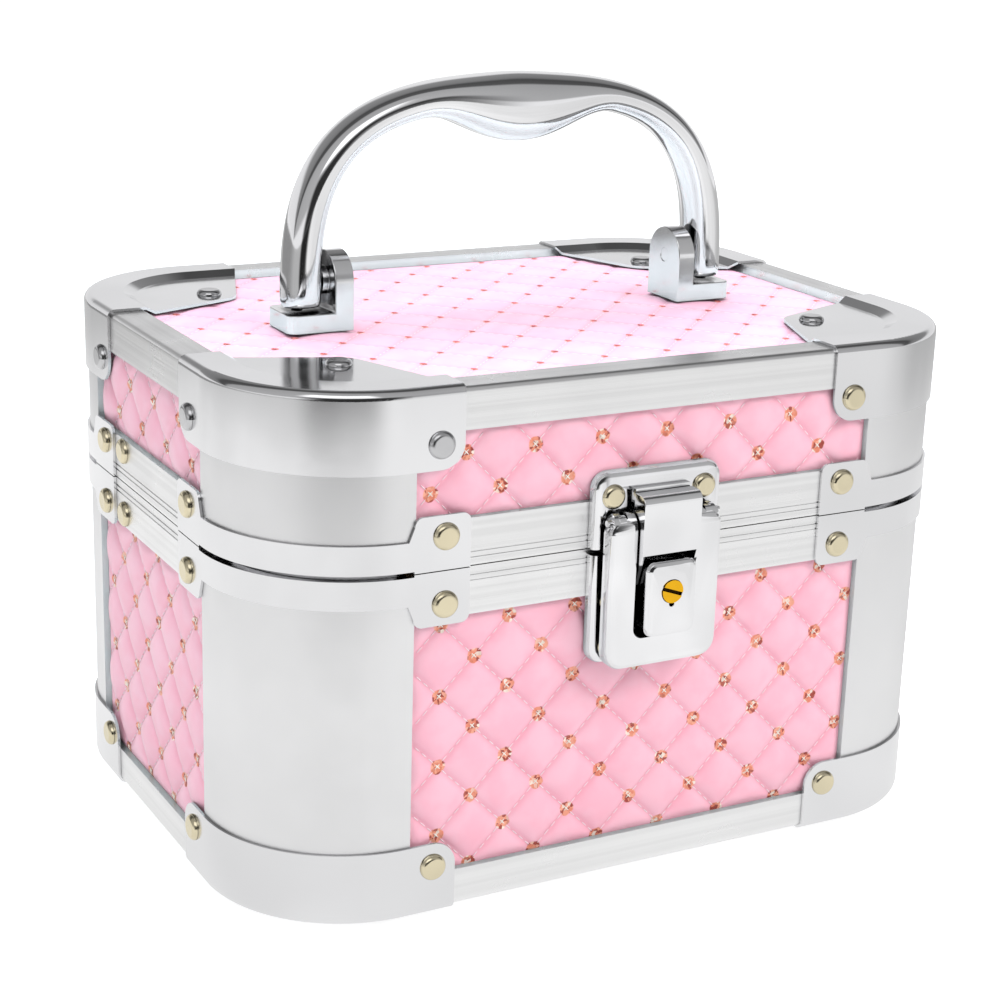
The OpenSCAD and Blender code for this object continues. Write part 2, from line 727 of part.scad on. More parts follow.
// A cap's bent sheet: x outwards from the corner's centre, y up from the rail's face.
// The flange runs in to x = -deep, stepping down by step where it leaves the rail.
module cap_section(side, bend, deep, step) {
    t = seat_gap + sheet_t;
    translate([cap_r - sheet_t, -side]) square([sheet_t, side + t - bend]);
    translate([cap_r - bend, t - bend]) intersection() {
        difference() {
            circle(bend, $fn = 64);
            circle(bend - sheet_t, $fn = 64);
        }
        square(bend);
    }
    out = corner_r - top_rail_w - 0.8;
    in = out - 3.2;
    polygon([[cap_r - bend + eps, seat_gap], [cap_r - bend + eps, t], [out, t], [in, t - step],
        [-deep, t - step], [-deep, seat_gap - step], [in, seat_gap - step], [out, seat_gap]]);
}

// The plan outline of a cap: full legs outside, a lobe round the flange's rivet inside
module cap_outline() {
    leg = -(cap_leg - corner_r);
    shoulder = corner_r - top_rail_w - 1;
    c = [flange_u, flange_u];
    dx = shoulder - flange_u;
    dy = leg - flange_u;
    a = atan2(dy, dx) - acos(lobe_r / sqrt(dx * dx + dy * dy));
    polygon(concat([[cap_r + 1, leg], [shoulder, leg]],
        arc_points(c, lobe_r, a, -90 - (a + 180), 12),
        [[leg, shoulder], [leg, cap_r + 1], [cap_r + 1, cap_r + 1]]));
}

// A corner cap with its flange on top, wall hanging down to z = -side
module cap(side, bend, step) {
    leg = cap_leg - corner_r;
    deep = lobe_r;
    difference() {
        intersection() {
            union() {
                rotate_extrude(angle = 90, $fn = 128) cap_section(side, bend, 0, step);
                rotate([90, 0, 0]) linear_extrude(leg + eps) cap_section(side, bend, deep, step);
                mirror([-1, 1, 0]) rotate([90, 0, 0]) linear_extrude(leg + eps)
                    cap_section(side, bend, deep, step);
            }
            translate([0, 0, -side - 1]) linear_extrude(side + 3) cap_outline();
        }
        for (m = [0, 1]) mirror([-m, m, 0]) {
            translate([cap_r, -(cap_rivet_in - corner_r), -side + cap_round]) rotate([0, 90, 0])
                shank_hole(bend + 2);
            translate([cap_r - 3, -leg - 1, -side - 1]) cap_corner_cut();
        }
        translate([flange_u, flange_u, 0]) shank_hole(bend + 2);
    }
}

// Rounds a cap's lower corner about its rivet
module cap_corner_cut() {
    difference() {
        cube([5, cap_round + 1, cap_round + 1]);
        translate([-1, cap_round + 1, cap_round + 1]) rotate([0, 90, 0]) cylinder(r = cap_round, h = 7, $fn = 64);
    }
}

module lid_cap(sx, sy) {
    color(chrome) at_corner(sx, sy) translate([0, 0, top_z])
        cap(cap_side, rail_r + seat_gap + sheet_t, flange_step);
}
module lid_cap_front_left() { lid_cap(-1, -1); }
module lid_cap_front_right() { lid_cap(1, -1); }
module lid_cap_back_left() { lid_cap(-1, 1); }
module lid_cap_back_right() { lid_cap(1, 1); }

module foot_cap(sx, sy) {
    color(chrome) at_corner(sx, sy) translate([0, 0, rail_z0]) mirror([0, 0, 1])
        cap(foot_cap_side, bottom_rail_r + seat_gap + sheet_t, 0);
}
module foot_cap_front_left() { foot_cap(-1, -1); }
module foot_cap_front_right() { foot_cap(1, -1); }
module foot_cap_back_left() { foot_cap(-1, 1); }
module foot_cap_back_right() { foot_cap(1, 1); }

// ---- rim corner strips ---------------------------------------------------------------

// An ear's outline: x along the side from the corner's centre, y from the parting line
module ear_outline() {
    far = strip_leg - corner_r;
    near = ear_in - corner_r;
    r = 2.4;
    union() {
        square([far, strip_h]);
        translate([near + r, 0]) square([far - near - 2 * r, ear_h]);
        translate([near, 0]) square([far - near, ear_h - r]);
        for (x = [near + r, far - r]) translate([x, ear_h - r]) circle(r, $fn = 32);
        polygon([[near - 1.6, strip_h - eps], [near + eps, strip_h - eps], [near + eps, ear_h - r]]);
    }
}

// A rim strip standing on the parting line, with its ears upwards. Its lip closes the end of the
// wall, and the base's has a tongue that hides the gap.
module rim_strip(tongue) {
    low = corner_gap + half_gap;
    lip = tongue ? corner_r - board_in : corner_r - board_in + sheet_t + tongue_side_gap;
    difference() {
        union() {
            rotate_extrude(angle = 90, $fn = 128) {
                translate([cap_r - sheet_t, low]) square([sheet_t, strip_h - low]);
                translate([lip, low]) square([cap_r - lip, sheet_t]);
                if (tongue) translate([lip, -tongue_h]) square([sheet_t, tongue_h + low + sheet_t]);
            }
            for (m = [0, 1]) mirror([-m, m, 0]) translate([cap_r - sheet_t, 0, 0])
                rotate([90, 0, 90]) mirror([1, 0, 0]) linear_extrude(sheet_t) difference() {
                    ear_outline();
                    translate([-1, -1]) square([strip_leg, 1 + half_gap]);
                    translate([-1, -1]) square([ear_in - corner_r + 1, 1 + low]);
                }
        }
        for (m = [0, 1]) mirror([-m, m, 0])
            translate([cap_r, -(ear_rivet_in - corner_r), ear_rivet_z]) rotate([0, 90, 0]) shank_hole(3);
    }
}

module lid_rim_corner(sx, sy) {
    color(chrome) at_corner(sx, sy) translate([0, 0, part_z]) rim_strip(false);
}
module lid_rim_corner_front_left() { lid_rim_corner(-1, -1); }
module lid_rim_corner_front_right() { lid_rim_corner(1, -1); }
module lid_rim_corner_back_left() { lid_rim_corner(-1, 1); }
module lid_rim_corner_back_right() { lid_rim_corner(1, 1); }

module base_rim_corner(sx, sy) {
    color(chrome) at_corner(sx, sy) translate([0, 0, part_z]) mirror([0, 0, 1]) rim_strip(true);
}
module base_rim_corner_front_left() { base_rim_corner(-1, -1); }
module base_rim_corner_front_right() { base_rim_corner(1, -1); }
module base_rim_corner_back_left() { base_rim_corner(-1, 1); }
module base_rim_corner_back_right() { base_rim_corner(1, 1); }

// ---- handle --------------------------------------------------------------------------

pivot_z = top_z + pivot_up;
foot_end_r = leg_w / 2;
arch_z0 = pivot_z - foot_end_r;
bump_half = 28;

// Centre line of the arch: a superellipse at the polar angle a, 0 and 180 at the feet
function arch_r(a) = pow(pow(abs(cos(a)) / leg_x, 3) + pow(abs(sin(a)) / arch_h, 3), -1 / 3);
function swell(x, half) = abs(x) < half ? pow(cos(90 * x / half), 2) : 0;
function arch_x(a) = -arch_r(a) * cos(a);
function arch_z(a) = arch_z0 + arch_r(a) * sin(a) - grip_drop * swell(arch_x(a), bump_half);
function arch_t(a) = leg_t - 2.3 * pow(sin(2 * a), 2) + (grip_t - leg_t) * swell(arch_x(a), bump_half);
function arch_w(a) = leg_w + (grip_w - leg_w) * swell(arch_x(a), 1.6 * bump_half);
function section_point(b, t, w) = let(n = 0.78)
    [sign(cos(b)) * pow(abs(cos(b)), n) * t / 2, sign(sin(b)) * pow(abs(sin(b)), n) * w / 2];

ring_n = 44;
side_n = 20;

function ring(i) = let(a = 180 * i / ring_n, lo = max(0, a - 0.5), hi = min(180, a + 0.5),
        tx = arch_x(hi) - arch_x(lo), tz = arch_z(hi) - arch_z(lo), l = sqrt(tx * tx + tz * tz),
        nx = i == 0 ? -1 : i == ring_n ? 1 : -tz / l, nz = i == 0 || i == ring_n ? 0 : tx / l)
    [for (s = [0:side_n - 1]) let(p = section_point(360 * s / side_n, arch_t(a), arch_w(a)))
        [arch_x(a) + nx * p[0], p[1], arch_z(a) + nz * p[0]]];

module arch() {
    points = [for (i = [0:ring_n]) each ring(i)];
    skin = [for (i = [0:ring_n - 1], s = [0:side_n - 1])
        let(a = i * side_n + s, b = i * side_n + (s + 1) % side_n)
        for (f = [[a, b, b + side_n], [a, b + side_n, a + side_n]]) f];
    ends = [[for (s = [side_n - 1:-1:0]) s], [for (s = [0:side_n - 1]) ring_n * side_n + s]];
    polyhedron(points = points, faces = concat(skin, ends), convexity = 6);
}

ear_x = leg_x - leg_t / 2 - bracket_gap - bracket_ear_t;

module handle() {
    color(chrome) translate([0, centre_y, 0]) difference() {
        arch();
        for (s = [-1, 1]) {
            translate([s * leg_x, 0, pivot_z]) rotate([0, 90, 0])
                handle_end_cut();
            translate([s * (leg_x - leg_t / 2 - 1 + pin_depth / 2), 0, pivot_z]) rotate([0, 90, 0])
                cylinder(d = handle_pin_d + 2 * pin_fit, h = pin_depth + 2, center = true, $fn = 48);
        }
    }
}
pin_depth = 7;

// Rounds a leg's lower end about its pivot
module handle_end_cut() {
    difference() {
        translate([0, -leg_w, -leg_t]) cube([leg_w, 2 * leg_w, 2 * leg_t]);
        cylinder(r = foot_end_r, h = 3 * leg_t, center = true, $fn = 64);
        translate([-leg_w, -leg_w, -leg_t - 1]) cube([leg_w, 2 * leg_w, 2 * leg_t + 2]);
    }
}

// A bracket, cast in one piece: foot outwards, ear inwards, for the side s
module handle_bracket(s) {
    foot_z = top_z - top_recess + quilt_valley + top_crown + 2 * seat_gap;
    foot_far = leg_x + leg_t / 2 + 1.6;
    color(chrome) translate([0, centre_y, 0]) mirror([s < 0 ? 1 : 0, 0, 0]) difference() {
        union() {
            translate([ear_x, -bracket_w / 2, foot_z])
                cube([bracket_ear_t, bracket_w, pivot_z - foot_z]);
            translate([ear_x, 0, pivot_z]) rotate([0, 90, 0]) cylinder(d = bracket_w, h = bracket_ear_t, $fn = 64);
            translate([ear_x, -bracket_w / 2, foot_z])
                cube([foot_far - ear_x - 3, bracket_w, bracket_foot_t]);
            translate([ear_x, -bracket_w / 2 + 3, foot_z])
                cube([foot_far - ear_x, bracket_w - 6, bracket_foot_t]);
            for (y = [-1, 1]) translate([foot_far - 3, y * (bracket_w / 2 - 3), foot_z])
                cylinder(r = 3, h = bracket_foot_t, $fn = 32);
            translate([ear_x + bracket_ear_t, 0, pivot_z]) rotate([0, 90, 0])
                cylinder(d = 8, h = bracket_gap - 0.2, $fn = 48);
        }
        translate([ear_x - 1, 0, pivot_z]) rotate([0, 90, 0])
            cylinder(d = handle_pin_d + 0.04, h = bracket_ear_t + bracket_gap + 2, $fn = 48);
        for (x = screw_xs) translate([x, 0, foot_z - 1]) cylinder(d = 3.2, h = bracket_foot_t + 2, $fn = 24);
    }
}
screw_xs = [leg_x + 1];

module bracket_screw_places() {
    for (s = [-1, 1], x = screw_xs) translate([s * x, centre_y, 0]) children();
}
module handle_bracket_left() { handle_bracket(-1); }
module handle_bracket_right() { handle_bracket(1); }

module handle_pins() {
    color(chrome) translate([0, centre_y, 0]) for (s = [-1, 1]) mirror([s < 0 ? 1 : 0, 0, 0])
        translate([ear_x + 0.2, 0, pivot_z]) rotate([0, 90, 0])
            cylinder(d = handle_pin_d, h = bracket_ear_t + bracket_gap + pin_depth - 1.4, $fn = 48);
}

// ---- latch ---------------------------------------------------------------------------

plate_parting_gap = 0.1;
plate_drop = 1.4;
keeper_z0 = part_z + half_gap + plate_parting_gap;
plate_top_z = part_z - plate_drop;
plate_r = 4.6;
keeper_rivet_x = 14.2;
keeper_rivet_up = 14.6;
keeper_rivet_z = part_z + keeper_rivet_up;
plate_rivet_x = 14;
plate_rivet_low = 27.4;
plate_rivet_high = 14.5;
plate_rivet_zs = [part_z - plate_rivet_low, part_z - plate_rivet_high];

module keeper_rivet_places() {
    for (s = [-1, 1]) translate([s * keeper_rivet_x, 0, keeper_rivet_z]) rotate([90, 0, 0]) children();
}

module latch_plate_rivet_places() {
    for (s = [-1, 1], z = plate_rivet_zs) translate([s * plate_rivet_x, 0, z]) rotate([90, 0, 0]) children();
}

lug_w = 17;
lug_h = 4;
lug_reach = 1.9;
lug_up = 16.6;
lug_top_z = part_z + lug_up;

module latch_keeper() {
    mid_z = keeper_z0 + (keeper_h - plate_r) / 2;
    color(chrome) on_side(0) difference() {
        union() {
            difference() {
                translate([0, -seat_gap, keeper_z0 + (keeper_h + plate_r) / 2 - plate_r]) rotate([90, 0, 0])
                    soft_plate(plate_w, keeper_h + plate_r, plate_t, plate_r, 1.4);
                translate([-plate_w, -plate_t - 1, keeper_z0 - 3 * plate_r])
                    cube([2 * plate_w, plate_t + 2, 3 * plate_r]);
                translate([-plate_w / 2 + 1.2, -plate_t + 1, keeper_z0 + 1.2])
                    cube([plate_w - 2.4, plate_t, keeper_h - plate_r]);
            }
            keeper_rivet_places() cylinder(d = head_d + 1, h = plate_t - eps, $fn = 32);
            translate([-lug_w / 2, -plate_t - lug_reach, lug_top_z - lug_h])
                cube([lug_w, lug_reach + 1, lug_h]);
        }
        keeper_rivet_places() shank_hole(board_in);
    }
}

module latch_base_plate() {
    z0 = plate_top_z - latch_plate_h;
    color(chrome) on_side(0) difference() {
        union() {
            difference() {
                translate([0, -seat_gap, z0 + (latch_plate_h + plate_r) / 2]) rotate([90, 0, 0])
                    soft_plate(plate_w, latch_plate_h + plate_r, plate_t, plate_r, 1.4);
                translate([-plate_w, -plate_t - 1, plate_top_z]) cube([2 * plate_w, plate_t + 2, 3 * plate_r]);
                translate([-plate_w / 2 + 1.2, -plate_t + 1, z0 + plate_r])
                    cube([plate_w - 2.4, plate_t, latch_plate_h - plate_r - 1.2]);
            }
            latch_plate_rivet_places() cylinder(d = head_d + 1, h = plate_t - eps, $fn = 32);
            for (s = [-1, 1]) lever_ear(s);
        }
        latch_plate_rivet_places() shank_hole(board_in);
        for (s = [-1, 1]) translate([s * ear_mid_x, -lever_pivot_y, lever_z]) rotate([0, 90, 0])
            cylinder(d = latch_pin_d + 0.04, h = lever_ear_t + 2, center = true, $fn = 32);
    }
}

lever_z = part_z + lever_pivot_z;
lever_ear_t = 2;
ear_mid_x = (lever_gap / 2 + lever_w / 2) / 2;
ear_boss_r = 1.9;
ear_pin_gap = 0.5;

// An ear of the base plate that carries the lever, ahead of the keeper plate
module lever_ear(s) {
    front = lever_pivot_y + ear_boss_r;
    low = hook_z + latch_pin_d / 2 + ear_pin_gap;
    translate([s * ear_mid_x - lever_ear_t / 2, 0, 0]) {
        translate([0, -lever_pivot_y, lever_z]) rotate([0, 90, 0])
            cylinder(r = ear_boss_r, h = lever_ear_t, $fn = 32);
        translate([0, -front, low]) cube([lever_ear_t, 2 * ear_boss_r, lever_z - low]);
        translate([0, -front, low]) cube([lever_ear_t, front - plate_t + 1, plate_top_z - low]);
    }
}

lever_back_y = 4.4;
lever_front_y = 8.2;
lever_drop = 33;
lever_r = 5.4;
lever_bottom_z = part_z - lever_drop;
lever_bar_h = 8.4;
lever_end_r = lever_pivot_y - plate_t - seat_gap - 0.3;

module latch_lever() {
    h = lever_z + lever_end_r - lever_bottom_z;
    t = lever_front_y - lever_back_y;
    color(chrome) on_side(0) difference() {
        union() {
            translate([0, -lever_back_y, lever_bottom_z + h / 2]) rotate([90, 0, 0])
                soft_plate(lever_w, h, t, lever_r, 1.3);
            for (s = [-1, 1]) translate([s * ear_mid_x, -lever_pivot_y, lever_z]) rotate([0, 90, 0])
                cylinder(r = lever_end_r, h = (lever_w - lever_gap) / 2 - 1.6, center = true, $fn = 48);
        }
        // the opening between the arms
        translate([-lever_gap / 2, -lever_front_y - 1, lever_bottom_z + lever_bar_h + 3])
            cube([lever_gap, t + 6, h]);
        translate([0, -lever_back_y + 1, lever_bottom_z + lever_bar_h + 10]) rotate([90, 0, 0])
            linear_extrude(t + 6) round_rect(lever_gap, 20, 3);
        // the arms' ends are round about their pivot
        difference() {
            translate([-lever_w, -lever_front_y - 1, lever_z]) cube([2 * lever_w, t + 4, 2 * lever_end_r]);
            translate([-lever_w - 1, -lever_pivot_y, lever_z]) rotate([0, 90, 0])
                cylinder(r = lever_end_r, h = 2 * lever_w + 2, $fn = 48);
            translate([-lever_w - 1, -lever_front_y - 2, lever_z - 10]) cube([2 * lever_w + 2, t + 6, 10]);
        }
        // slots for the base plate's ears, open at the back
        for (s = [-1, 1]) translate([s * ear_mid_x - lever_ear_t / 2 - 0.3, -lever_pivot_y - ear_boss_r - 0.2,
            hook_z]) cube([lever_ear_t + 0.6, 9, 30]);
        // bores
        for (s = [-1, 1]) {
            translate([s * ear_mid_x, -lever_pivot_y, lever_z]) rotate([0, 90, 0])
                cylinder(d = latch_pin_d + 0.12, h = lever_w, center = true, $fn = 32);
            translate([s * ear_mid_x, -lever_pivot_y, hook_z]) rotate([0, 90, 0])
                cylinder(d = latch_pin_d + 0.04, h = lever_w, center = true, $fn = 32);
        }
        // pocket for the lock's bolt
        translate([-bolt_w / 2 - 0.4, -bolt_y - bolt_t - 0.4, lever_bottom_z + lever_bar_h - bolt_travel - 0.5])
            cube([bolt_w + 0.8, bolt_t + 0.8, 2 * bolt_travel]);
    }
}

hook_z = lever_z - hook_drop;
hook_t = 1.1;
hook_back_y = plate_t + lug_reach + 0.4;
hook_overhang = 0.6;
hook_low_z = part_z - hook_overhang;
hook_top = part_z + hook_top_z;

module latch_hook() {
    leg_t = 0.85;
    bend = 2.4;
    front = hook_reach;
    color(chrome) on_side(0) difference() {
        union() {
            // the bent front and top, as a section in the plane across the case's face
            translate([-hook_w / 2, 0, 0]) rotate([90, 0, 90]) linear_extrude(hook_w) union() {
                translate([-front, hook_low_z]) square([hook_t, hook_top - bend - hook_low_z]);
                translate([-front + bend, hook_top - hook_t]) square([front - bend - hook_back_y, hook_t]);
                translate([-front + bend, hook_top - bend]) intersection() {
                    difference() {
                        circle(bend, $fn = 48);
                        circle(bend - hook_t, $fn = 48);
                    }
                    translate([-bend, 0]) square(bend);
                }
            }
            // two cheeks that run back and down to the pivot
            for (s = [0, 1]) mirror([s, 0, 0]) translate([hook_w / 2 - leg_t, 0, 0]) rotate([90, 0, 90])
                linear_extrude(leg_t) union() {
                    polygon([[-front + 0.3, hook_low_z], [-front + 0.3, hook_top - bend], [-front + bend, hook_top - 0.3],
                        [-hook_back_y, hook_top - 0.3], [-hook_back_y, hook_low_z + 3], [-lever_pivot_y + 2.2, hook_z],
                        [-lever_pivot_y - 2.2, hook_z]]);
                    translate([-lever_pivot_y, hook_z]) circle(2.2, $fn = 32);
                }
        }
        translate([0, -lever_pivot_y, hook_z]) rotate([0, 90, 0])
            cylinder(d = latch_pin_d + 0.12, h = hook_w + 2, center = true, $fn = 32);
    }
}

pin_in_x = housing_w / 2 + 0.25;

module latch_lever_pins() {
    color(chrome) on_side(0) for (s = [-1, 1]) {
        x0 = lever_gap / 2 + 0.2;
        translate([s * (x0 + lever_w / 2) / 2, -lever_pivot_y, lever_z]) rotate([0, 90, 0])
            cylinder(d = latch_pin_d, h = lever_w / 2 - x0, center = true, $fn = 32);
    }
}

module latch_hook_pins() {
    color(chrome) on_side(0) for (s = [-1, 1])
        translate([s * (pin_in_x + lever_w / 2) / 2, -lever_pivot_y, hook_z]) rotate([0, 90, 0])
            cylinder(d = latch_pin_d, h = lever_w / 2 - pin_in_x, center = true, $fn = 32);
}

// ---- lock ----------------------------------------------------------------------------

housing_drop = 2.3;
housing_top_z = part_z - housing_drop;
housing_h = 21.2;
cyl_z = part_z - cylinder_z;
bolt_w = 6;
bolt_t = 1.6;
bolt_y = 5.2;
crank_r = bolt_travel;
crank_pin_d = 1.6;
slot_slack = 0.65;
housing_wall = 1;

module lock_housing() {
    depth = housing_reach - plate_t - 2 * seat_gap;
    mid = housing_top_z - housing_h / 2;
    color(chrome) on_side(0) difference() {
        translate([0, -plate_t - 2 * seat_gap, mid]) rotate([90, 0, 0])
            soft_plate(housing_w, housing_h, depth, 2.8, 1.3);
        translate([-housing_w / 2 + housing_wall, -housing_reach + 3.4, mid - housing_h / 2 + housing_wall])
            cube([housing_w - 2 * housing_wall, depth, housing_h - 2 * housing_wall]);
        translate([0, 0, cyl_z]) rotate([90, 0, 0]) cylinder(d = cylinder_d + 0.12, h = 40, $fn = 64);
        translate([0, 0, cyl_z - cylinder_d / 2 - 0.3]) rotate([90, 0, 0]) cylinder(d = 1.6, h = 40, $fn = 24);
        translate([-bolt_w / 2 - 0.15, -bolt_y - bolt_t - 0.15, mid - housing_h / 2 - 1])
            cube([bolt_w + 0.3, bolt_t + 0.3, 4]);
    }
}

module lock_cylinder() {
    back = -bolt_y - bolt_t - 0.3;
    front = -housing_reach - cylinder_proud;
    color(gold) on_side(0) translate([0, 0, cyl_z]) difference() {
        union() {
            translate([0, back, 0]) rotate([90, 0, 0]) cylinder(d = cylinder_d, h = back - front, $fn = 64);
            translate([0, back, 0]) rotate([90, 0, 0]) cylinder(d = cylinder_d + 2, h = 1, $fn = 64);
            translate([crank_r, back + bolt_t + 0.6, 0]) rotate([90, 0, 0])
                cylinder(d = crank_pin_d, h = bolt_t + 1, $fn = 32);
        }
        rotate([0, -slot_tilt, 0]) translate([-cylinder_d, front - 1, -0.5]) cube([2 * cylinder_d, 2, 1]);
    }
}

module lock_bolt() {
    low = housing_top_z - housing_h + 0.1;
    high = cyl_z + 3.6;
    color(chrome) on_side(0) difference() {
        translate([-bolt_w / 2, -bolt_y - bolt_t, low]) cube([bolt_w, bolt_t, high - low]);
        // a cross slot for the crank's pin, open enough for its arc
        translate([-crank_pin_d / 2 - 0.5, -bolt_y - bolt_t - 1, cyl_z - crank_pin_d / 2 - slot_slack])
            cube([bolt_w, bolt_t + 2, crank_pin_d + 2 * slot_slack]);
    }
}

// ---- hinges --------------------------------------------------------------------------

knuckle_n = 3;
knuckle_side_gap = 0.15;

module hinge_rivet_places(s) {
    for (m = [-1, 1], e = [-1, 1]) translate([m * hinge_x + e * hinge_w * 0.3, 0,
        part_z + s * (hinge_leaf_h - head_d / 2 - 0.4)]) rotate([90, 0, 0]) children();
}

// A leaf for s = -1 (base) or 1 (lid): its knuckles are those that the other leaf leaves free
module hinge_leaf(s, mine) {
    kw = hinge_w / knuckle_n;
    difference() {
        union() {
            translate([-hinge_w / 2, -seat_gap - hinge_leaf_t, s > 0 ? part_z + half_gap : part_z - hinge_leaf_h])
                cube([hinge_w, hinge_leaf_t, hinge_leaf_h - half_gap]);
            for (i = mine) translate([-hinge_w / 2 + i * kw + knuckle_side_gap, -knuckle_y, part_z])
                rotate([0, 90, 0]) cylinder(d = knuckle_d, h = kw - 2 * knuckle_side_gap, $fn = 48);
        }
        translate([-hinge_w, -knuckle_y, part_z]) rotate([0, 90, 0])
            cylinder(d = hinge_pin_d + 0.1, h = 2 * hinge_w, $fn = 32);
        // the other leaf's knuckles turn in these gaps
        for (i = [0:knuckle_n - 1]) if (len(search(i, mine)) == 0)
            translate([-hinge_w / 2 + i * kw - eps, -knuckle_y, part_z]) rotate([0, 90, 0])
                cylinder(d = knuckle_d + 0.5, h = kw + 2 * eps, $fn = 48);
    }
}

module hinge_base_leaves() {
    color(chrome) on_side(2) difference() {
        for (m = [-1, 1]) translate([m * hinge_x, 0, 0]) hinge_leaf(-1, [0, 2]);
        hinge_rivet_places(-1) shank_hole(board_in);
    }
}

module hinge_lid_leaves() {
    color(chrome) on_side(2) difference() {
        for (m = [-1, 1]) translate([m * hinge_x, 0, 0]) hinge_leaf(1, [1]);
        hinge_rivet_places(1) shank_hole(board_in);
    }
}

module hinge_pins() {
    color(chrome) on_side(2) for (m = [-1, 1]) translate([m * hinge_x - hinge_w / 2, -knuckle_y, part_z])
        rotate([0, 90, 0]) cylinder(d = hinge_pin_d, h = hinge_w, $fn = 32);
}

// ---- lid stays -----------------------------------------------------------------------

// Each link is as long as the hinge is from its fixed pivot, so the four pivots stay a parallelogram
stay_reach = stay_in + knuckle_y;
link_lean = atan2(stay_pivot_z, stay_reach);
link_l = sqrt(stay_reach * stay_reach + stay_pivot_z * stay_pivot_z);

// A link from its fixed pivot along +X, a hole in each end
module link(d_fixed, d_free) {
    difference() {
        union() {
            translate([0, -link_w / 2, 0]) cube([link_l, link_w, link_t]);
            cylinder(d = link_w, h = link_t, $fn = 48);
            translate([link_l, 0, 0]) cylinder(d = link_w, h = link_t, $fn = 48);
        }
        translate([0, 0, -1]) cylinder(d = d_fixed, h = link_t + 2, $fn = 32);
        translate([link_l, 0, -1]) cylinder(d = d_free, h = link_t + 2, $fn = 32);
    }
}

link_pin_d = 2.8;
open_pivot_gap = 0.4;

// Places a link on side wall s, with its fixed pivot at z and its depth in the case
module on_wall(s, z, depth, lean) {
    translate([s * (case_w / 2 - lining_in - depth), centre_y + case_d / 2 - stay_in, z])
        rotate([0, 0, 180]) rotate([90, 0, 90]) mirror([0, 0, s > 0 ? 0 : 1])
            rotate([0, 0, lean]) children();
}

module stay_lower_links() {
    color(satin) for (s = [-1, 1]) on_wall(s, part_z - stay_pivot_z, link_gap, link_lean)
        link(shank_d + 0.12, link_pin_d + 2 * open_pivot_gap);
}

module stay_upper_links() {
    color(satin) for (s = [-1, 1]) on_wall(s, part_z + stay_pivot_z, 2 * link_gap + link_t, -link_lean) {
        link(shank_d + 0.12, 1);
        translate([link_l, 0, -link_gap - link_t - 0.3])
            cylinder(d = link_pin_d, h = link_gap + link_t + 0.3 + link_t, $fn = 32);
    }
}

base_wall_board();
base_floor_board();
base_lining();
base_panel_front();
base_panel_back();
base_panel_left();
base_panel_right();
base_corner_columns();
base_rim_rails();
base_edge_rails();
base_rim_corner_front_left();
base_rim_corner_front_right();
base_rim_corner_back_left();
base_rim_corner_back_right();
foot_cap_front_left();
foot_cap_front_right();
foot_cap_back_left();
foot_cap_back_right();
foot_rivets();
base_rivets();
lid_wall_board();
lid_top_board();
lid_lining();
lid_top_panel();
lid_panel_front();
lid_panel_back();
lid_panel_left();
lid_panel_right();
lid_corner_columns();
lid_rim_rails();
lid_edge_rails();
lid_rim_corner_front_left();
lid_rim_corner_front_right();
lid_rim_corner_back_left();
lid_rim_corner_back_right();
lid_cap_front_left();
lid_cap_front_right();
lid_cap_back_left();
lid_cap_back_right();
lid_rivets();
mirror_frame();
mirror_glass();
handle();
handle_bracket_left();
handle_bracket_right();
handle_pins();
latch_keeper();
latch_base_plate();
lock_housing();
latch_lever();
latch_hook();
latch_lever_pins();
latch_hook_pins();
lock_cylinder();
lock_bolt();
hinge_base_leaves();
hinge_lid_leaves();
hinge_pins();
stay_lower_links();
stay_upper_links();
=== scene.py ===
"""Small train case for make-up: quilted leather, stitching, metal finishes and a plain studio."""

import math

import bmesh
import bpy
from bpy.props import FloatProperty, FloatVectorProperty, IntProperty, PointerProperty
from mathutils import Matrix, Vector


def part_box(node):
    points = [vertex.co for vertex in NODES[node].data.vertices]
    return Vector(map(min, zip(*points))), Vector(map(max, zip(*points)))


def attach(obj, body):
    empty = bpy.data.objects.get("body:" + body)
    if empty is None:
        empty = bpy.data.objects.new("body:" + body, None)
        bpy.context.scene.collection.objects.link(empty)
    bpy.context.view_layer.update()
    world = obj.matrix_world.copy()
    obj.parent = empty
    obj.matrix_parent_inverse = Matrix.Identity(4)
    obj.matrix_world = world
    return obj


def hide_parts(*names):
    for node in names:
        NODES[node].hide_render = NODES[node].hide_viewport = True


bl_info = {
    "name": "Quilted train case",
    "version": (1, 0, 0),
    "blender": (4, 5, 0),
    "location": "3D View > Sidebar > Train case",
    "description": "Dresses the packed train case in quilted leather, stitching and metal finishes",
    "category": "Object",
}

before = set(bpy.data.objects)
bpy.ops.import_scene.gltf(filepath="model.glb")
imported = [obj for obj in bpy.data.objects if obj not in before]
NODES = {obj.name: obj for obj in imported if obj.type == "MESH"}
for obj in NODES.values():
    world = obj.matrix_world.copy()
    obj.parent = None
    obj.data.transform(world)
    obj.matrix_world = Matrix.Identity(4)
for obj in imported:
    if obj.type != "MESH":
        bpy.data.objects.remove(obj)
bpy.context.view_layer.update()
MM = 0.001
FRONT, RIGHT, BACK, LEFT, TOP = range(5)

# Each panel: node, body, outward side, and where two of its stitch lines cross, in millimetres
# from the panel's middle
PANELS = (
    ("base_panel_front", "base", FRONT, (-1.8, -6.1)),
    ("base_panel_right", "base", RIGHT, (3.1, -5.2)),
    ("base_panel_back", "base", BACK, (-1.8, -6.1)),
    ("base_panel_left", "base", LEFT, (3.1, -5.2)),
    ("lid_panel_front", "lid", FRONT, (-5.6, -4.6)),
    ("lid_panel_right", "lid", RIGHT, (2.1, 4.4)),
    ("lid_panel_back", "lid", BACK, (-5.6, -4.6)),
    ("lid_panel_left", "lid", LEFT, (2.1, 4.4)),
    ("lid_top_panel", "lid", TOP, (-1.4, 1.7)),
)

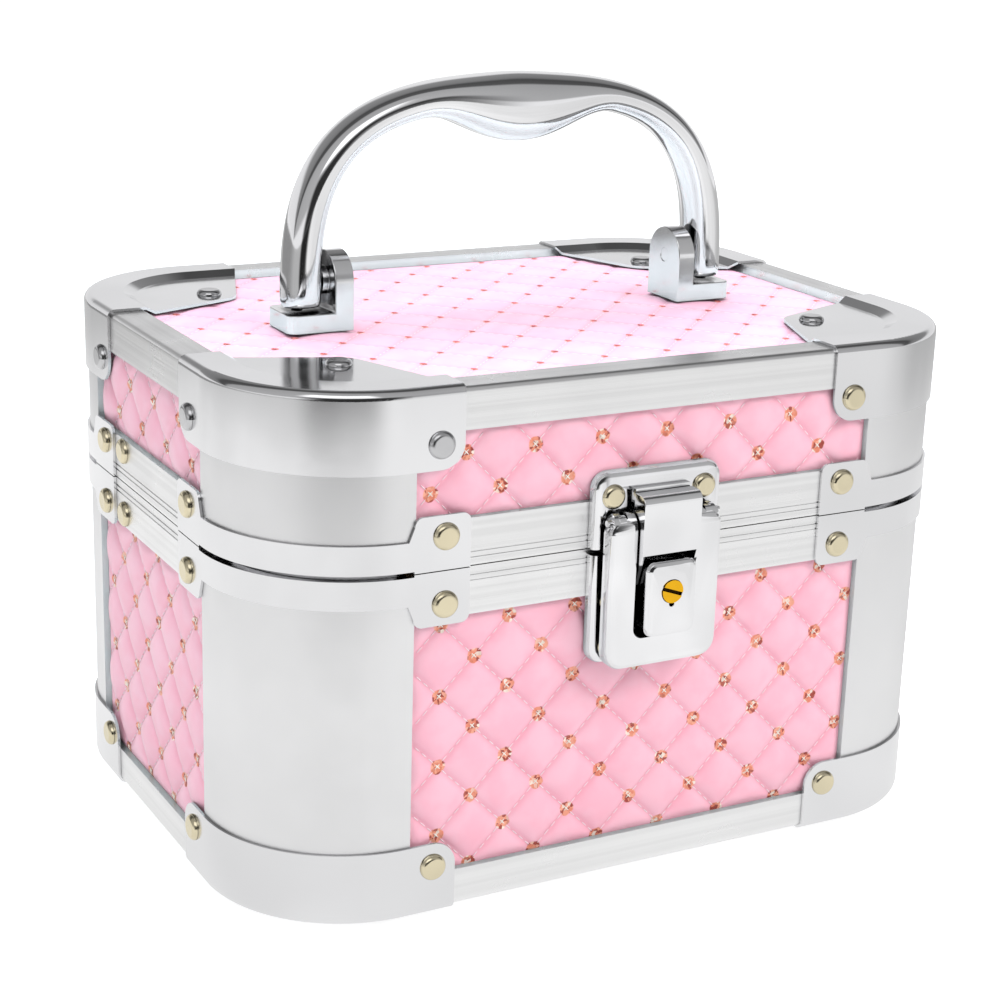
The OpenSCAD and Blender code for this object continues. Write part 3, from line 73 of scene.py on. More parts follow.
# Softened copies in the latch: node, body, slot and the width of its rounded edges
LATCH_PIECES = (
    ("latch_keeper", "lid", "chrome", 0.0008),
    ("latch_base_plate", "base", "chrome", 0.0005),
    ("latch_lever", "lever", "chrome", 0.0011),
    ("latch_hook", "hook", "chrome", 0.0011),
    ("lock_housing", "base", "lock_brass", 0.0009),
)

# Colours in the leather, beside those that a user may change: painted shade in the valleys along the
# stitches, painted dark reflections and glints in the foil, and what polished metal mirrors of it
PAINTED_VALLEY_SHADE = (0.86, 0.30, 0.40, 1)
FOIL_PAINTED_REFLECTION = (0.42, 0.07, 0.05, 1)
FOIL_PAINTED_GLINT = (1.0, 0.82, 0.72, 1)
LEATHER_IN_METAL = (0.62, 0.62, 0.63, 1)

# How much more green and blue the pink of the top panel is painted, as paler light from overhead
TOP_LIT_GREEN = 0.08
TOP_LIT_BLUE = 0.14

# Painted shade in the metal's crevices, on the hook's cheeks and in the lock's key slot, and colours
# inside the case and under it, the boards' from dark to light
PAINTED_CREVICE_SHADE = (0.012, 0.012, 0.013, 1)
PAINTED_CHEEK_SHADE = (0.05, 0.05, 0.052, 1)
PAINTED_SLOT_SHADE = (0.02, 0.010, 0.002, 1)
FLOCK = (0.030, 0.028, 0.032)
FIBREBOARD = ((0.26, 0.17, 0.10, 1), (0.40, 0.28, 0.17, 1))
BOTTOM_BOARD = ((0.012, 0.012, 0.013, 1), (0.03, 0.03, 0.032, 1))
SILVERING = ((0.86, 0.89, 0.90, 1), (0.90, 0.92, 0.93, 1))

# Strength and depth of the drawn lines on the rails, and depth of the plated pieces' waves
LINE_STRENGTH = 0.35
LINE_DEPTH = 0.00012
WAVE_DEPTH = 0.0004

# The quilted sheets: squares along a diamond's side, how near a line counts as on it, the width
# over which pillows fall off to the rails, a hair's breadth, the weight of the creases, and the
# cloth's frames
CELLS = 10
ON_LINE = 0.02
EDGE_EASE = 0.0026
HAIR = 0.00001
CREASE = 0.6
PUFF_FRAMES = 20

# The camera: place in millimetres, lens, its axes, and the side that it stands on seen from above
CAMERA_PLACE = (-299.678, -542.726, 279.277)
CAMERA_LENS = 77.17
CAMERA_RIGHT = Vector((0.8811265, -0.4719540, 0.0295892))
CAMERA_DOWN = Vector((-0.1149932, -0.2745429, -0.9546742))
CAMERA_AHEAD = Vector((0.4586858, 0.8377862, -0.2961785))
CAMERA_SIDE = Vector((-0.480, -0.877, 0.0))

# The studio: what the lamps look at, their tints, and the greys that metal mirrors, each with its
# turn in degrees from the camera's horizon over the top to the horizon behind
LIT_MIDDLE = Vector((0.0, 0.0, 0.08))
WHITE = (1, 1, 1)
OVERHEAD_TINT = (0.80, 0.95, 1)
SIDE_TINT = (0.5, 0.95, 1)
ROOM_GREYS = (
    (0, 0.92), (8, 0.90), (14, 0.46), (60, 0.42), (92, 0.38), (100, 0.09), (120, 0.07), (130, 0.20),
    (154, 0.26), (161, 0.80), (180, 0.84),
)


# ---- what a user may change ---------------------------------------------------------------


def length_value(name, description, default):
    return FloatProperty(name=name, description=description, default=default, unit="LENGTH")


def plain_value(name, description, default):
    return FloatProperty(name=name, description=description, default=default)


def power_value(name, description, default):
    return FloatProperty(name=name, description=description, default=default, unit="POWER")


def colour_value(name, description, *default):
    return FloatVectorProperty(
        name=name, description=description, default=default + (1.0,), subtype="COLOR", size=4)


class QuiltSettings(bpy.types.PropertyGroup):
    diamond_width: length_value(
        "Diamond width", "Width of a diamond on the front, back and top", 0.0201)
    side_diamond_width: length_value(
        "Side diamond width", "Width of a diamond on the left and right sides", 0.0196)
    diamond_height: length_value("Diamond height", "Height of a diamond", 0.0200)
    valley: length_value("Valley", "Height of the stitch lines over a panel's back", 0.0008)
    side_crown: length_value("Side crown", "Rise of a pillow on the sides", 0.00178)
    top_crown: length_value("Top crown", "Rise of a pillow on the top", 0.0009)
    tuck: length_value("Tuck", "Width of the margin behind the rails", 0.0016)
    top_corner: length_value("Top corner", "Radius of the top panel's corners", 0.0317)
    margin: length_value("Margin", "Height of the pressed margin", 0.0007)
    stitch_length: length_value("Stitch length", "Length of one visible stitch", 0.0021)
    thread_width: length_value("Thread width", "Width of the sewing thread", 0.00034)
    fullness: plain_value("Fullness", "Below 1 makes the pillows rise more steeply at their edges", 0.8)
    stitches: IntProperty(
        name="Stitches", description="Stitches along one side of a diamond", default=5)
    dot_size: length_value("Dot size", "Diameter of a foil dot", 0.0043)
    leather: colour_value("Leather", "Colour of the leather", 0.97, 0.46, 0.565)
    leather_pale: colour_value(
        "Pale leather", "Colour of the leather where it is stretched", 0.97, 0.51, 0.61)
    foil: colour_value("Foil", "Colour of the foil dots", 0.84, 0.23, 0.14)
    foil_light: colour_value("Light foil", "Colour of the foil's bright facets", 0.98, 0.45, 0.31)
    thread: colour_value("Thread", "Colour of the sewing thread", 0.98, 0.74, 0.79)
    cross_thread: colour_value(
        "Crossing thread", "Colour of the threads that cross over the dots", 1.0, 0.90, 0.82)
    top_thread: colour_value(
        "Top's crossing thread", "Colour of the stitches over the top's dots", 0.78, 0.20, 0.22)


class MetalSettings(bpy.types.PropertyGroup):
    chrome: colour_value("Chrome", "Colour of the chrome plate", 0.83, 0.83, 0.84)
    satin: colour_value("Satin sheet", "Colour of the corner columns", 0.86, 0.86, 0.865)
    rail: colour_value("Rail", "Colour of the aluminium rails", 0.90, 0.90, 0.90)
    rivet: colour_value("Rivet", "Colour of the rivets", 0.78, 0.70, 0.50)
    # A greyer tone on the rivets at the lid's top and on its left caps
    grey_rivet: colour_value("Grey rivet", "Colour of the lid caps' own rivets", 0.60, 0.60, 0.61)
    brass: colour_value("Brass", "Colour of the lock's cylinder", 0.93, 0.50, 0.02)
    steel: colour_value("Steel", "Colour of the hinges and stays", 0.60, 0.61, 0.62)
    lever_roll: length_value("Lever's roll", "Radius of the lever's rolled upper ends", 0.0052)


class HandleSettings(bpy.types.PropertyGroup):
    leg_thickness: length_value("Leg thickness", "Thickness of the legs along the case", 0.0103)
    leg_width: length_value("Leg width", "Width of the legs across the case", 0.014)
    grip_thickness: length_value("Grip thickness", "Height of the grip's middle", 0.0195)
    grip_width: length_value("Grip width", "Depth of the grip's middle", 0.0214)
    grip_drop: length_value("Grip drop", "How far the grip's middle hangs below the arch", 0.0042)
    grip_half: length_value("Grip half", "Half the length of the grip's swelling", 0.032)
    waist: length_value("Waist", "How much thinner the bow is between a leg and the grip", 0.0015)
    roundness: plain_value("Roundness", "Power of the section's curve, 1 for an ellipse", 0.78)
    end_squareness: plain_value(
        "End squareness", "Power of the curve of the legs' ends, 2 for a round end", 6.0)
    facets: IntProperty(name="Facets", description="Faces round the handle's section", default=48)


class StudioSettings(bpy.types.PropertyGroup):
    backdrop: colour_value("Backdrop", "Colour of the floor and backdrop", 1.0, 1.0, 1.0)
    key_power: power_value("Key light", "Power of the key light", 8.7)
    over_power: power_value("Overhead light", "Power of the overhead light", 15.0)
    side_power: power_value("Side light", "Power of the light from the left", 1.5)
    fill: plain_value("Fill light", "Strength of the light from all round", 0.565)


SETTINGS = {
    "quilt_settings": QuiltSettings,
    "metal_settings": MetalSettings,
    "handle_settings": HandleSettings,
    "studio_settings": StudioSettings,
}


# ---- nodes of a material ------------------------------------------------------------------


def toned(tone, scale=1.0):
    """A colour made lighter or darker, with no part over 1."""
    return tuple(min(1.0, c * scale) for c in tone[:3]) + (1.0,)


def overhead_lit(tone, share):
    """The top panel's pink with painted overhead light, paler and bluer, by a share of 0 to 1."""
    return (tone[0], tone[1] * (1 + TOP_LIT_GREEN * share), tone[2] * (1 + TOP_LIT_BLUE * share), 1)


def new_material(name):
    material = bpy.data.materials.new(name)
    material.use_nodes = True
    tree = material.node_tree
    return material, tree, tree.nodes["Principled BSDF"]


def plug(tree, value, socket):
    """Links a socket's value into another, or sets a plain value there."""
    if isinstance(value, bpy.types.NodeSocket):
        tree.links.new(value, socket)
    else:
        socket.default_value = value


def feed(tree, node, **values):
    """Fills sockets of a node by their names, with _ for a space."""
    for key, value in values.items():
        plug(tree, value, node.inputs[key.replace("_", " ")])


def add(tree, kind, **values):
    """A node with its settings and, for keys that name sockets, its inputs."""
    node = tree.nodes.new(kind)
    for key, value in values.items():
        if hasattr(node, key):
            setattr(node, key, value)
        else:
            feed(tree, node, **{key: value})
    return node


def maths(tree, operation, *values):
    node = add(tree, "ShaderNodeMath", operation=operation)
    for value, socket in zip(values, node.inputs):
        plug(tree, value, socket)
    return node.outputs[0]


def product(tree, first, *others):
    for other in others:
        first = maths(tree, "MULTIPLY", first, other)
    return first


def centred(tree, value, amount):
    """A noise's value with its middle moved to 0 and its spread scaled."""
    return product(tree, maths(tree, "SUBTRACT", value, 0.5), amount)


def dimmed(tree, level, mask, share):
    """The level less a share of it where the mask is."""
    return product(tree, level, maths(tree, "SUBTRACT", 1.0, product(tree, mask, share)))


def from_axis(tree, x, y):
    """Distance from the upright axis."""
    return maths(tree, "SQRT", maths(tree, "ADD", product(tree, x, x), product(tree, y, y)))


def smooth(tree, value, low, high, out_low=0.0, out_high=1.0):
    node = add(tree, "ShaderNodeMapRange", interpolation_type="SMOOTHSTEP", Value=value, From_Min=low,
        From_Max=high, To_Min=out_low, To_Max=out_high)
    return node.outputs["Result"]


def mix_colour(tree, factor, a, b):
    node = add(tree, "ShaderNodeMix", data_type="RGBA")
    feed(tree, node, Factor=factor, A=a, B=b)
    return node.outputs["Result"]


def noise(tree, where, **values):
    return add(tree, "ShaderNodeTexNoise", Vector=where, **values)


def line_noise(tree, where, **values):
    """Noise along one line."""
    return add(tree, "ShaderNodeTexNoise", noise_dimensions="1D", W=where, **values)


def object_place(tree):
    return tree.nodes.new("ShaderNodeTexCoord").outputs["Object"]


def axes(tree, vector):
    return add(tree, "ShaderNodeSeparateXYZ", Vector=vector).outputs[:]


def off_line(tree, value):
    """How far a number is from the nearest whole one."""
    return maths(tree, "SUBTRACT", value, maths(tree, "ROUND", value))


def emboss(tree, shader, height, strength, depth):
    bump = add(tree, "ShaderNodeBump", Strength=strength, Distance=depth, Height=height)
    feed(tree, shader, Normal=bump.outputs["Normal"])


def patchy(tree, value, low, high, dark, light):
    """A colour that goes from dark to light with a noise's value."""
    return mix_colour(tree, smooth(tree, value, low, high), dark, light)


def tint_over(material, share, tone):
    """Lays a colour over a finished metal's own, where share says. Share gets the tree, x, y and z."""
    tree = material.node_tree
    shader = tree.nodes["Principled BSDF"]
    plated = shader.inputs["Base Color"].links[0].from_socket
    mask = share(tree, *axes(tree, object_place(tree)))
    feed(tree, shader, Base_Color=mix_colour(tree, mask, plated, tone))
    return material


def place(tree, group, **values):
    return add(tree, "ShaderNodeGroup", node_tree=group, **values)


def node_group(name, inputs, outputs, build):
    """A shader node group, made once. Build gets its tree and inputs and returns its outputs."""
    group = bpy.data.node_groups.get(name)
    if group:
        return group
    group = bpy.data.node_groups.new(name, "ShaderNodeTree")
    for label, kind, value in inputs:
        socket = group.interface.new_socket(label, in_out="INPUT", socket_type="NodeSocket" + kind)
        if value is not None:
            socket.default_value = value
    for label, kind in outputs:
        group.interface.new_socket(label, in_out="OUTPUT", socket_type="NodeSocket" + kind)
    source, sink = group.nodes.new("NodeGroupInput"), group.nodes.new("NodeGroupOutput")
    for value, socket in zip(build(group, source.outputs), sink.inputs):
        group.links.new(value, socket)
    return group


# ---- materials ----------------------------------------------------------------------------


def handling_marks():
    """Faint smears and patches, as hands and cloths leave on plated metal."""

    def build(tree, given):
        where = object_place(tree)
        patches = noise(tree, where, Detail=4.0, Roughness=0.6, Scale=given["Size"])
        waves = noise(tree, where, Detail=1.0, Roughness=0.4, Scale=product(tree, given["Size"], 0.5))
        spread = add(tree, "ShaderNodeMapRange", Value=patches.outputs["Fac"], From_Min=0.35,
            From_Max=0.65, To_Min=given["Least"], To_Max=given["Most"])
        return spread.outputs["Result"], waves.outputs["Fac"]

    return node_group("Handling marks",
        (("Size", "Float", 60.0), ("Least", "Float", 0.08), ("Most", "Float", 0.14)),
        (("Roughness", "Float"), ("Height", "Float")), build)


def drawn_lines():
    """Fine lines that run along a rail, from the distance across its section."""

    def build(tree, given):
        x, y, z = axes(tree, object_place(tree))
        y = maths(tree, "SUBTRACT", y, given["Middle"])
        across = maths(tree, "SUBTRACT", maths(tree, "ABSOLUTE", x), given["Half width"])
        deep = maths(tree, "SUBTRACT", maths(tree, "ABSOLUTE", y), given["Half depth"])
        line = maths(tree, "ADD", maths(tree, "MAXIMUM", across, deep), z)
        fine = line_noise(tree, line, Detail=3.0, Roughness=0.7, Scale=given["Fineness"])
        broad = line_noise(tree, line, Detail=1.0, Scale=product(tree, given["Fineness"], 0.25))
        return fine.outputs["Fac"], broad.outputs["Fac"]

    return node_group("Drawn lines",
        (("Half width", "Float", 0.1125), ("Half depth", "Float", 0.084), ("Middle", "Float", 0.0),
            ("Fineness", "Float", 1800.0)),
        (("Height", "Float"), ("Tone", "Float")), build)


def foil_dots():
    """Where the foil dots are, from the quilt's own map, whose whole numbers are the crossings."""

    def build(tree, given):
        near = [off_line(tree, v) for v in axes(tree, given["Map"])[:2]]
        distance = maths(tree, "DIVIDE", from_axis(tree, *near), given["Radius"])
        wobble = noise(tree, given["Map"], Scale=9.0, Detail=2.0)
        ragged = maths(tree, "ADD", distance, centred(tree, wobble.outputs["Fac"], 0.35))
        facets = add(tree, "ShaderNodeTexVoronoi", Scale=15.0, Vector=given["Map"])
        return (smooth(tree, ragged, 0.92, 1.06, 1.0, 0.0), facets.outputs["Color"],
            facets.outputs["Distance"])

    return node_group("Foil dots", (("Map", "Vector", None), ("Radius", "Float", 0.145)),
        (("Mask", "Float"), ("Facet", "Color"), ("Facet height", "Float")), build)


def leather_grain():
    """Coated leather's fine pebble, its pale patches, and a mask of its valleys along the stitches for
    painted shade.
    """

    def build(tree, given):
        where = object_place(tree)
        pebble = add(tree, "ShaderNodeTexVoronoi", Scale=1500.0, Vector=where)
        patch = noise(tree, where, Scale=120.0, Detail=3.0)
        fine = noise(tree, where, Scale=900.0, Detail=3.0)
        near = [maths(tree, "ABSOLUTE", off_line(tree, v)) for v in axes(tree, given["Map"])[:2]]
        height = maths(tree, "ADD", product(tree, pebble.outputs["Distance"], 0.4),
            product(tree, fine.outputs["Fac"], 0.6))
        valley = smooth(tree, maths(tree, "MINIMUM", *near), 0.0, 0.12, 1.0, 0.0)
        return height, patch.outputs["Fac"], valley

    return node_group("Leather grain", (("Map", "Vector", None),),
        (("Height", "Float"), ("Patch", "Float"), ("Valley", "Float")), build)


def metal(name, tone, least, most, size=60.0, wave=0.0, lines=False, crevice_shade=0.0, dull_walls=0.0):
    """A plated or drawn metal with handling marks, painted shade in its crevices and, on rails, drawn
    lines.

    Its roughness lies between least and most. With dull_walls the upright faces are worn duller
    than the flat ones.
    """
    material, tree, shader = new_material(name)
    marks = place(tree, handling_marks(), Size=size, Least=least, Most=most)
    rough = marks.outputs["Roughness"]
    pattern = marks.outputs["Height"]
    if dull_walls:
        tilt = axes(tree, tree.nodes.new("ShaderNodeNewGeometry").outputs["Normal"])[2]
        wall = smooth(tree, maths(tree, "ABSOLUTE", tilt), 0.05, 0.3, dull_walls, 0.0)
        rough = maths(tree, "ADD", rough, wall)
    if lines:
        drawn = place(tree, drawn_lines(), Middle=case_middle().y)
        pattern = drawn.outputs["Tone"]
        emboss(tree, shader, drawn.outputs["Height"], LINE_STRENGTH, LINE_DEPTH)
    elif wave:
        emboss(tree, shader, pattern, wave, WAVE_DEPTH)
    tint = patchy(tree, pattern, 0.3, 0.7, toned(tone, 0.95), toned(tone, 1.03))
    # Painted shade: the colour darkens where ambient occlusion finds other surfaces close by
    if crevice_shade:
        open_air = add(tree, "ShaderNodeAmbientOcclusion", Distance=crevice_shade, samples=12)
        tint = patchy(tree, open_air.outputs["AO"], 0.12, 0.72, PAINTED_CREVICE_SHADE, tint)
    feed(tree, shader, Metallic=1.0, Roughness=rough, Base_Color=tint)
    return material


def quilted_leather(settings, name="Quilted leather", dot=1.0, shine=0.3, top_light=0.0):
    """Leather with foil dots on its crossings: dot scales them, shine is their metal, the last paints
    overhead light into the pink.
    """
    material, tree, shader = new_material(name)
    lattice = add(tree, "ShaderNodeUVMap", uv_map="Lattice").outputs["UV"]
    side = math.hypot(settings.diamond_width, settings.diamond_height) / 2
    dots = place(tree, foil_dots(), Map=lattice, Radius=dot * settings.dot_size / 2 / side)
    mask = dots.outputs["Mask"]
    grain = place(tree, leather_grain(), Map=lattice)
    leather = patchy(tree, grain.outputs["Patch"], 0.35, 0.65, overhead_lit(settings.leather, top_light),
        overhead_lit(settings.leather_pale, top_light))
    # Painted shade: the pink darkens in the valleys along the stitch lines
    leather = mix_colour(tree, product(tree, grain.outputs["Valley"], 0.34), leather, PAINTED_VALLEY_SHADE)
    chance = add(tree, "ShaderNodeSeparateColor", Color=dots.outputs["Facet"]).outputs
    foil = mix_colour(tree, chance[0], tuple(settings.foil), tuple(settings.foil_light))
    # Painted dark reflections and painted glints on random facets of the foil
    foil = patchy(tree, chance[1], 0.66, 0.80, foil, FOIL_PAINTED_REFLECTION)
    foil = patchy(tree, chance[2], 0.86, 0.95, foil, FOIL_PAINTED_GLINT)
    mirrored = tree.nodes.new("ShaderNodeLightPath").outputs["Is Glossy Ray"]
    skin = mix_colour(tree, mask, leather, foil)
    pebble = add(tree, "ShaderNodeBump", Strength=0.25, Distance=0.00005,
        Height=grain.outputs["Height"])
    facet = add(tree, "ShaderNodeBump", Strength=product(tree, mask, 0.8), Distance=0.0003,
        Height=dots.outputs["Facet height"], Normal=pebble.outputs["Normal"])
    feed(tree, shader, Metallic=product(tree, mask, shine), Coat_Weight=0.12, Coat_Roughness=0.25,
        Base_Color=mix_colour(tree, product(tree, mirrored, 0.95), skin, LEATHER_IN_METAL),
        Roughness=smooth(tree, mask, 0.0, 1.0, 0.42, 0.3), Sheen_Weight=0.06,
        Normal=facet.outputs["Normal"])
    return material


def thread_material(name, tone):
    material, tree, shader = new_material(name)
    twist = noise(tree, object_place(tree), Scale=2500.0, Detail=2.0).outputs["Fac"]
    tint = patchy(tree, twist, 0.35, 0.65, toned(tone, 0.92), toned(tone, 1.05))
    feed(tree, shader, Base_Color=tint, Roughness=0.5, Sheen_Weight=0.2)
    emboss(tree, shader, twist, 0.5, 0.00005)
    return material


def flock_material(name, tone):
    material, tree, shader = new_material(name)
    where = object_place(tree)
    pile = noise(tree, where, Scale=1800.0, Detail=4.0)
    patch = noise(tree, where, Scale=45.0, Detail=3.0)
    tint = patchy(tree, patch.outputs["Fac"], 0.3, 0.7, toned(tone, 0.75), toned(tone, 1.35))
    feed(tree, shader, Base_Color=tint, Roughness=0.95, Sheen_Weight=0.35, Sheen_Roughness=0.4)
    emboss(tree, shader, pile.outputs["Fac"], 0.6, 0.0002)
    return material


def board_material(name, dark, light):
    material, tree, shader = new_material(name)
    fibres = noise(tree, object_place(tree), Scale=700.0, Detail=6.0, Roughness=0.7).outputs["Fac"]
    feed(tree, shader, Base_Color=patchy(tree, fibres, 0.3, 0.7, dark, light), Roughness=0.8)
    emboss(tree, shader, fibres, 0.3, 0.0001)
    return material


def mirror_material():
    material, tree, shader = new_material("Silvered glass")
    marks = place(tree, handling_marks(), Size=35.0, Least=0.01, Most=0.05)
    tint = patchy(tree, marks.outputs["Height"], 0.3, 0.7, *SILVERING)
    feed(tree, shader, Base_Color=tint, Roughness=marks.outputs["Roughness"], Metallic=1.0)
    return material


def finish_nodes(material, *names):
    for name in names:
        for slot in NODES[name].material_slots:
            slot.material = material


# ---- helpers for the pieces ---------------------------------------------------------------


def case_middle():
    """The middle of the case's plan, from the top board, which is centred on it."""
    low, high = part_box("lid_top_board")
    return (low + high) / 2


def finished(name, bm, material, body, replaced=()):
    """Makes the object from its bmesh, gives it its finish, and seats it on its body."""
    mesh = bpy.data.meshes.new(name)
    bm.to_mesh(mesh)
    bm.free()
    piece = bpy.data.objects.new(name, mesh)
    bpy.context.scene.collection.objects.link(piece)
    mesh.materials.append(material)
    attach(piece, body)
    if replaced:
        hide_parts(*replaced)
    return piece


def cut(bm, at, normal, trim=False, close=1e-7):
    """Cuts all faces along a plane and, with trim, drops what is beyond it."""
    bmesh.ops.bisect_plane(bm, geom=bm.verts[:] + bm.edges[:] + bm.faces[:], dist=close,
        plane_co=at, plane_no=normal, clear_outer=trim)


def roll_back(bm, roll):
    """Rounds the upper ends of the lever's arms back and inwards, over the roll's radius."""
    top = max(v.co.z for v in bm.verts)
    back = max(v.co.y for v in bm.verts if v.co.z > top - roll)
    wide = max(v.co.x for v in bm.verts)
    steps = 9
    back_share, inward, inner = 0.48, 0.0022, 0.55
    for step in range(steps):
        height = top - roll * math.cos(math.pi / 2 * (step + 0.5) / steps)
        cut(bm, (0, 0, height), (0, 0, 1), close=1e-6)
    for v in bm.verts:
        up = min(1.0, (v.co.z - top + roll) / roll)
        if up > 0:
            fall = 1 - math.sqrt(1 - up * up)
            v.co.y += fall * back_share * (back - v.co.y)
            outer = max(0.0, min(1.0, (abs(v.co.x) - wide * inner) / (wide * (1 - inner))))
            v.co.x -= math.copysign(fall * inward * outer, v.co.x)


def softened(node, body, width, material, roll=0.0):
    """A copy of a CAD piece with its sharp edges rounded, and its upper front ends with a roll."""
    bm = bmesh.new()
    bm.from_mesh(NODES[node].data)
    bmesh.ops.transform(bm, matrix=NODES[node].matrix_world, verts=bm.verts)
    bmesh.ops.remove_doubles(bm, verts=bm.verts, dist=1e-6)
    bmesh.ops.dissolve_limit(bm, angle_limit=math.radians(0.5), verts=bm.verts, edges=bm.edges)
    bmesh.ops.recalc_face_normals(bm, faces=bm.faces)
    if roll:
        roll_back(bm, roll)
    piece = finished(node + "_soft", bm, material, body, (node,))
    soften = piece.modifiers.new("Edges", "BEVEL")
    soften.width = width
    soften.segments = 3
    soften.limit_method = "ANGLE"
    soften.angle_limit = math.radians(35)
    soften.harden_normals = False
    shade_smooth(piece, math.radians(40))


def shade_smooth(piece, angle):
    with bpy.context.temp_override(active_object=piece, object=piece, selected_objects=[piece],
            selected_editable_objects=[piece]):
        bpy.ops.object.shade_smooth_by_angle(angle=angle)


def smooth_all(piece):
    for polygon in piece.data.polygons:
        polygon.use_smooth = True


def panel_frame(node, side):
    """A panel's own axes and size: x to the right seen from outside, y up, z out from its back."""
    low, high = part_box(node)
    at = (low + high) / 2
    if side == TOP:
        at.z = low.z
        return Matrix.Translation(at), (high.x - low.x, high.y - low.y)
    if side in (FRONT, BACK):
        at.y = high.y if side == FRONT else low.y
        width = high.x - low.x
    else:
        at.x = low.x if side == RIGHT else high.x
        width = high.y - low.y
    turn = Matrix.Rotation(math.radians(90 * side), 4, "Z") @ Matrix.Rotation(math.radians(90), 4, "X")
    return Matrix.Translation(at) @ turn, (width, high.z - low.z)


class Lattice:
    """A panel's stitch lines. Their crossings have whole numbers along both lines."""

    def __init__(self, settings, side, cross):
        width = settings.side_diamond_width if side in (LEFT, RIGHT) else settings.diamond_width
        self.pitch = (width, settings.diamond_height)
        self.cross = (cross[0] * MM, cross[1] * MM)

    def point(self, m, n):
        """The place of a pair of numbers on the panel."""
        return Vector((self.cross[0] + self.pitch[0] * (m + n) / 2,
            self.cross[1] + self.pitch[1] * (m - n) / 2, 0))

    def numbers(self, p):
        """The pair of numbers of a place on the panel."""
        u, v = (p.x - self.cross[0]) / self.pitch[0], (p.y - self.cross[1]) / self.pitch[1]
        return u + v, u - v

    def reach(self, half):
        """How many lines either way cover a panel of these half sizes."""
        return math.ceil(2 * half[0] / self.pitch[0] + 2 * half[1] / self.pitch[1]) // 2 + 2


def quilt_sheet(lattice, half, side, settings):
    """A flat sheet of small squares along the stitch lines, cut to the panel."""
    reach = lattice.reach(half)
    pitch, cross = lattice.pitch, lattice.cross
    bm = bmesh.new()
    bmesh.ops.create_grid(bm, x_segments=2 * reach * CELLS, y_segments=2 * reach * CELLS, size=reach)
    to_plane = Matrix(((pitch[0] / 2, pitch[0] / 2, 0, cross[0]),
        (pitch[1] / 2, -pitch[1] / 2, 0, cross[1]), (0, 0, 1, 0), (0, 0, 0, 1)))
    bmesh.ops.transform(bm, matrix=to_plane, verts=bm.verts)
    bmesh.ops.reverse_faces(bm, faces=bm.faces)
    spare = 0.002
    outside = [f for f in bm.faces if abs(f.calc_center_median().x) >= half[0] + spare
        or abs(f.calc_center_median().y) >= half[1] + spare]
    bmesh.ops.delete(bm, geom=outside, context="FACES")
    for axis in (0, 1):
        for sign in (-1, 1):
            normal = Vector((0, 0, 0))
            normal[axis] = sign
            cut(bm, normal * half[axis], normal, trim=True)
            cut(bm, normal * (half[axis] - settings.tuck), normal)
    if side == TOP:
        round_corners(bm, half, settings.top_corner)
    return bm


def round_corners(bm, half, radius, cuts=9):
    """Trims a flat sheet's four corners to an arc, by straight cuts that touch it."""
    for sx, sy in ((1, 1), (-1, 1), (-1, -1), (1, -1)):
        centre = Vector((sx * (half[0] - radius), sy * (half[1] - radius), 0))
        for number in range(cuts):
            turn = math.radians(90) * (number + 0.5) / cuts
            normal = Vector((sx * math.cos(turn), sy * math.sin(turn), 0))
            cut(bm, centre + normal * radius, normal, trim=True)


def puff(piece, pinned):
    """Blows the sewn sheet up between its stitch lines with Blender's cloth, and says where it goes."""
    group = piece.vertex_groups.new(name="Sewn")
    group.add(pinned, 1.0, "REPLACE")
    cloth = piece.modifiers.new("Puff", "CLOTH")
    for name, value in (("quality", 6), ("mass", 0.3), ("tension_stiffness", 12),
            ("compression_stiffness", 12), ("shear_stiffness", 4), ("bending_stiffness", 0.4),
            ("vertex_group_mass", "Sewn"), ("pin_stiffness", 1.0), ("use_pressure", True),
            ("uniform_pressure_force", 6.0)):
        setattr(cloth.settings, name, value)
    cloth.settings.effector_weights.gravity = 0.0
    cloth.collision_settings.use_collision = False
    cloth.collision_settings.use_self_collision = False
    scene = bpy.context.scene
    cloth.point_cache.frame_start = 1
    cloth.point_cache.frame_end = PUFF_FRAMES
    for number in range(1, PUFF_FRAMES + 1):
        scene.frame_set(number)
    blown = piece.evaluated_get(bpy.context.evaluated_depsgraph_get())
    places = [v.co.copy() for v in blown.to_mesh().vertices]
    blown.to_mesh_clear()
    piece.modifiers.remove(cloth)
    piece.vertex_groups.remove(group)
    scene.frame_set(1)
    return places


# ---- the pieces ---------------------------------------------------------------------------


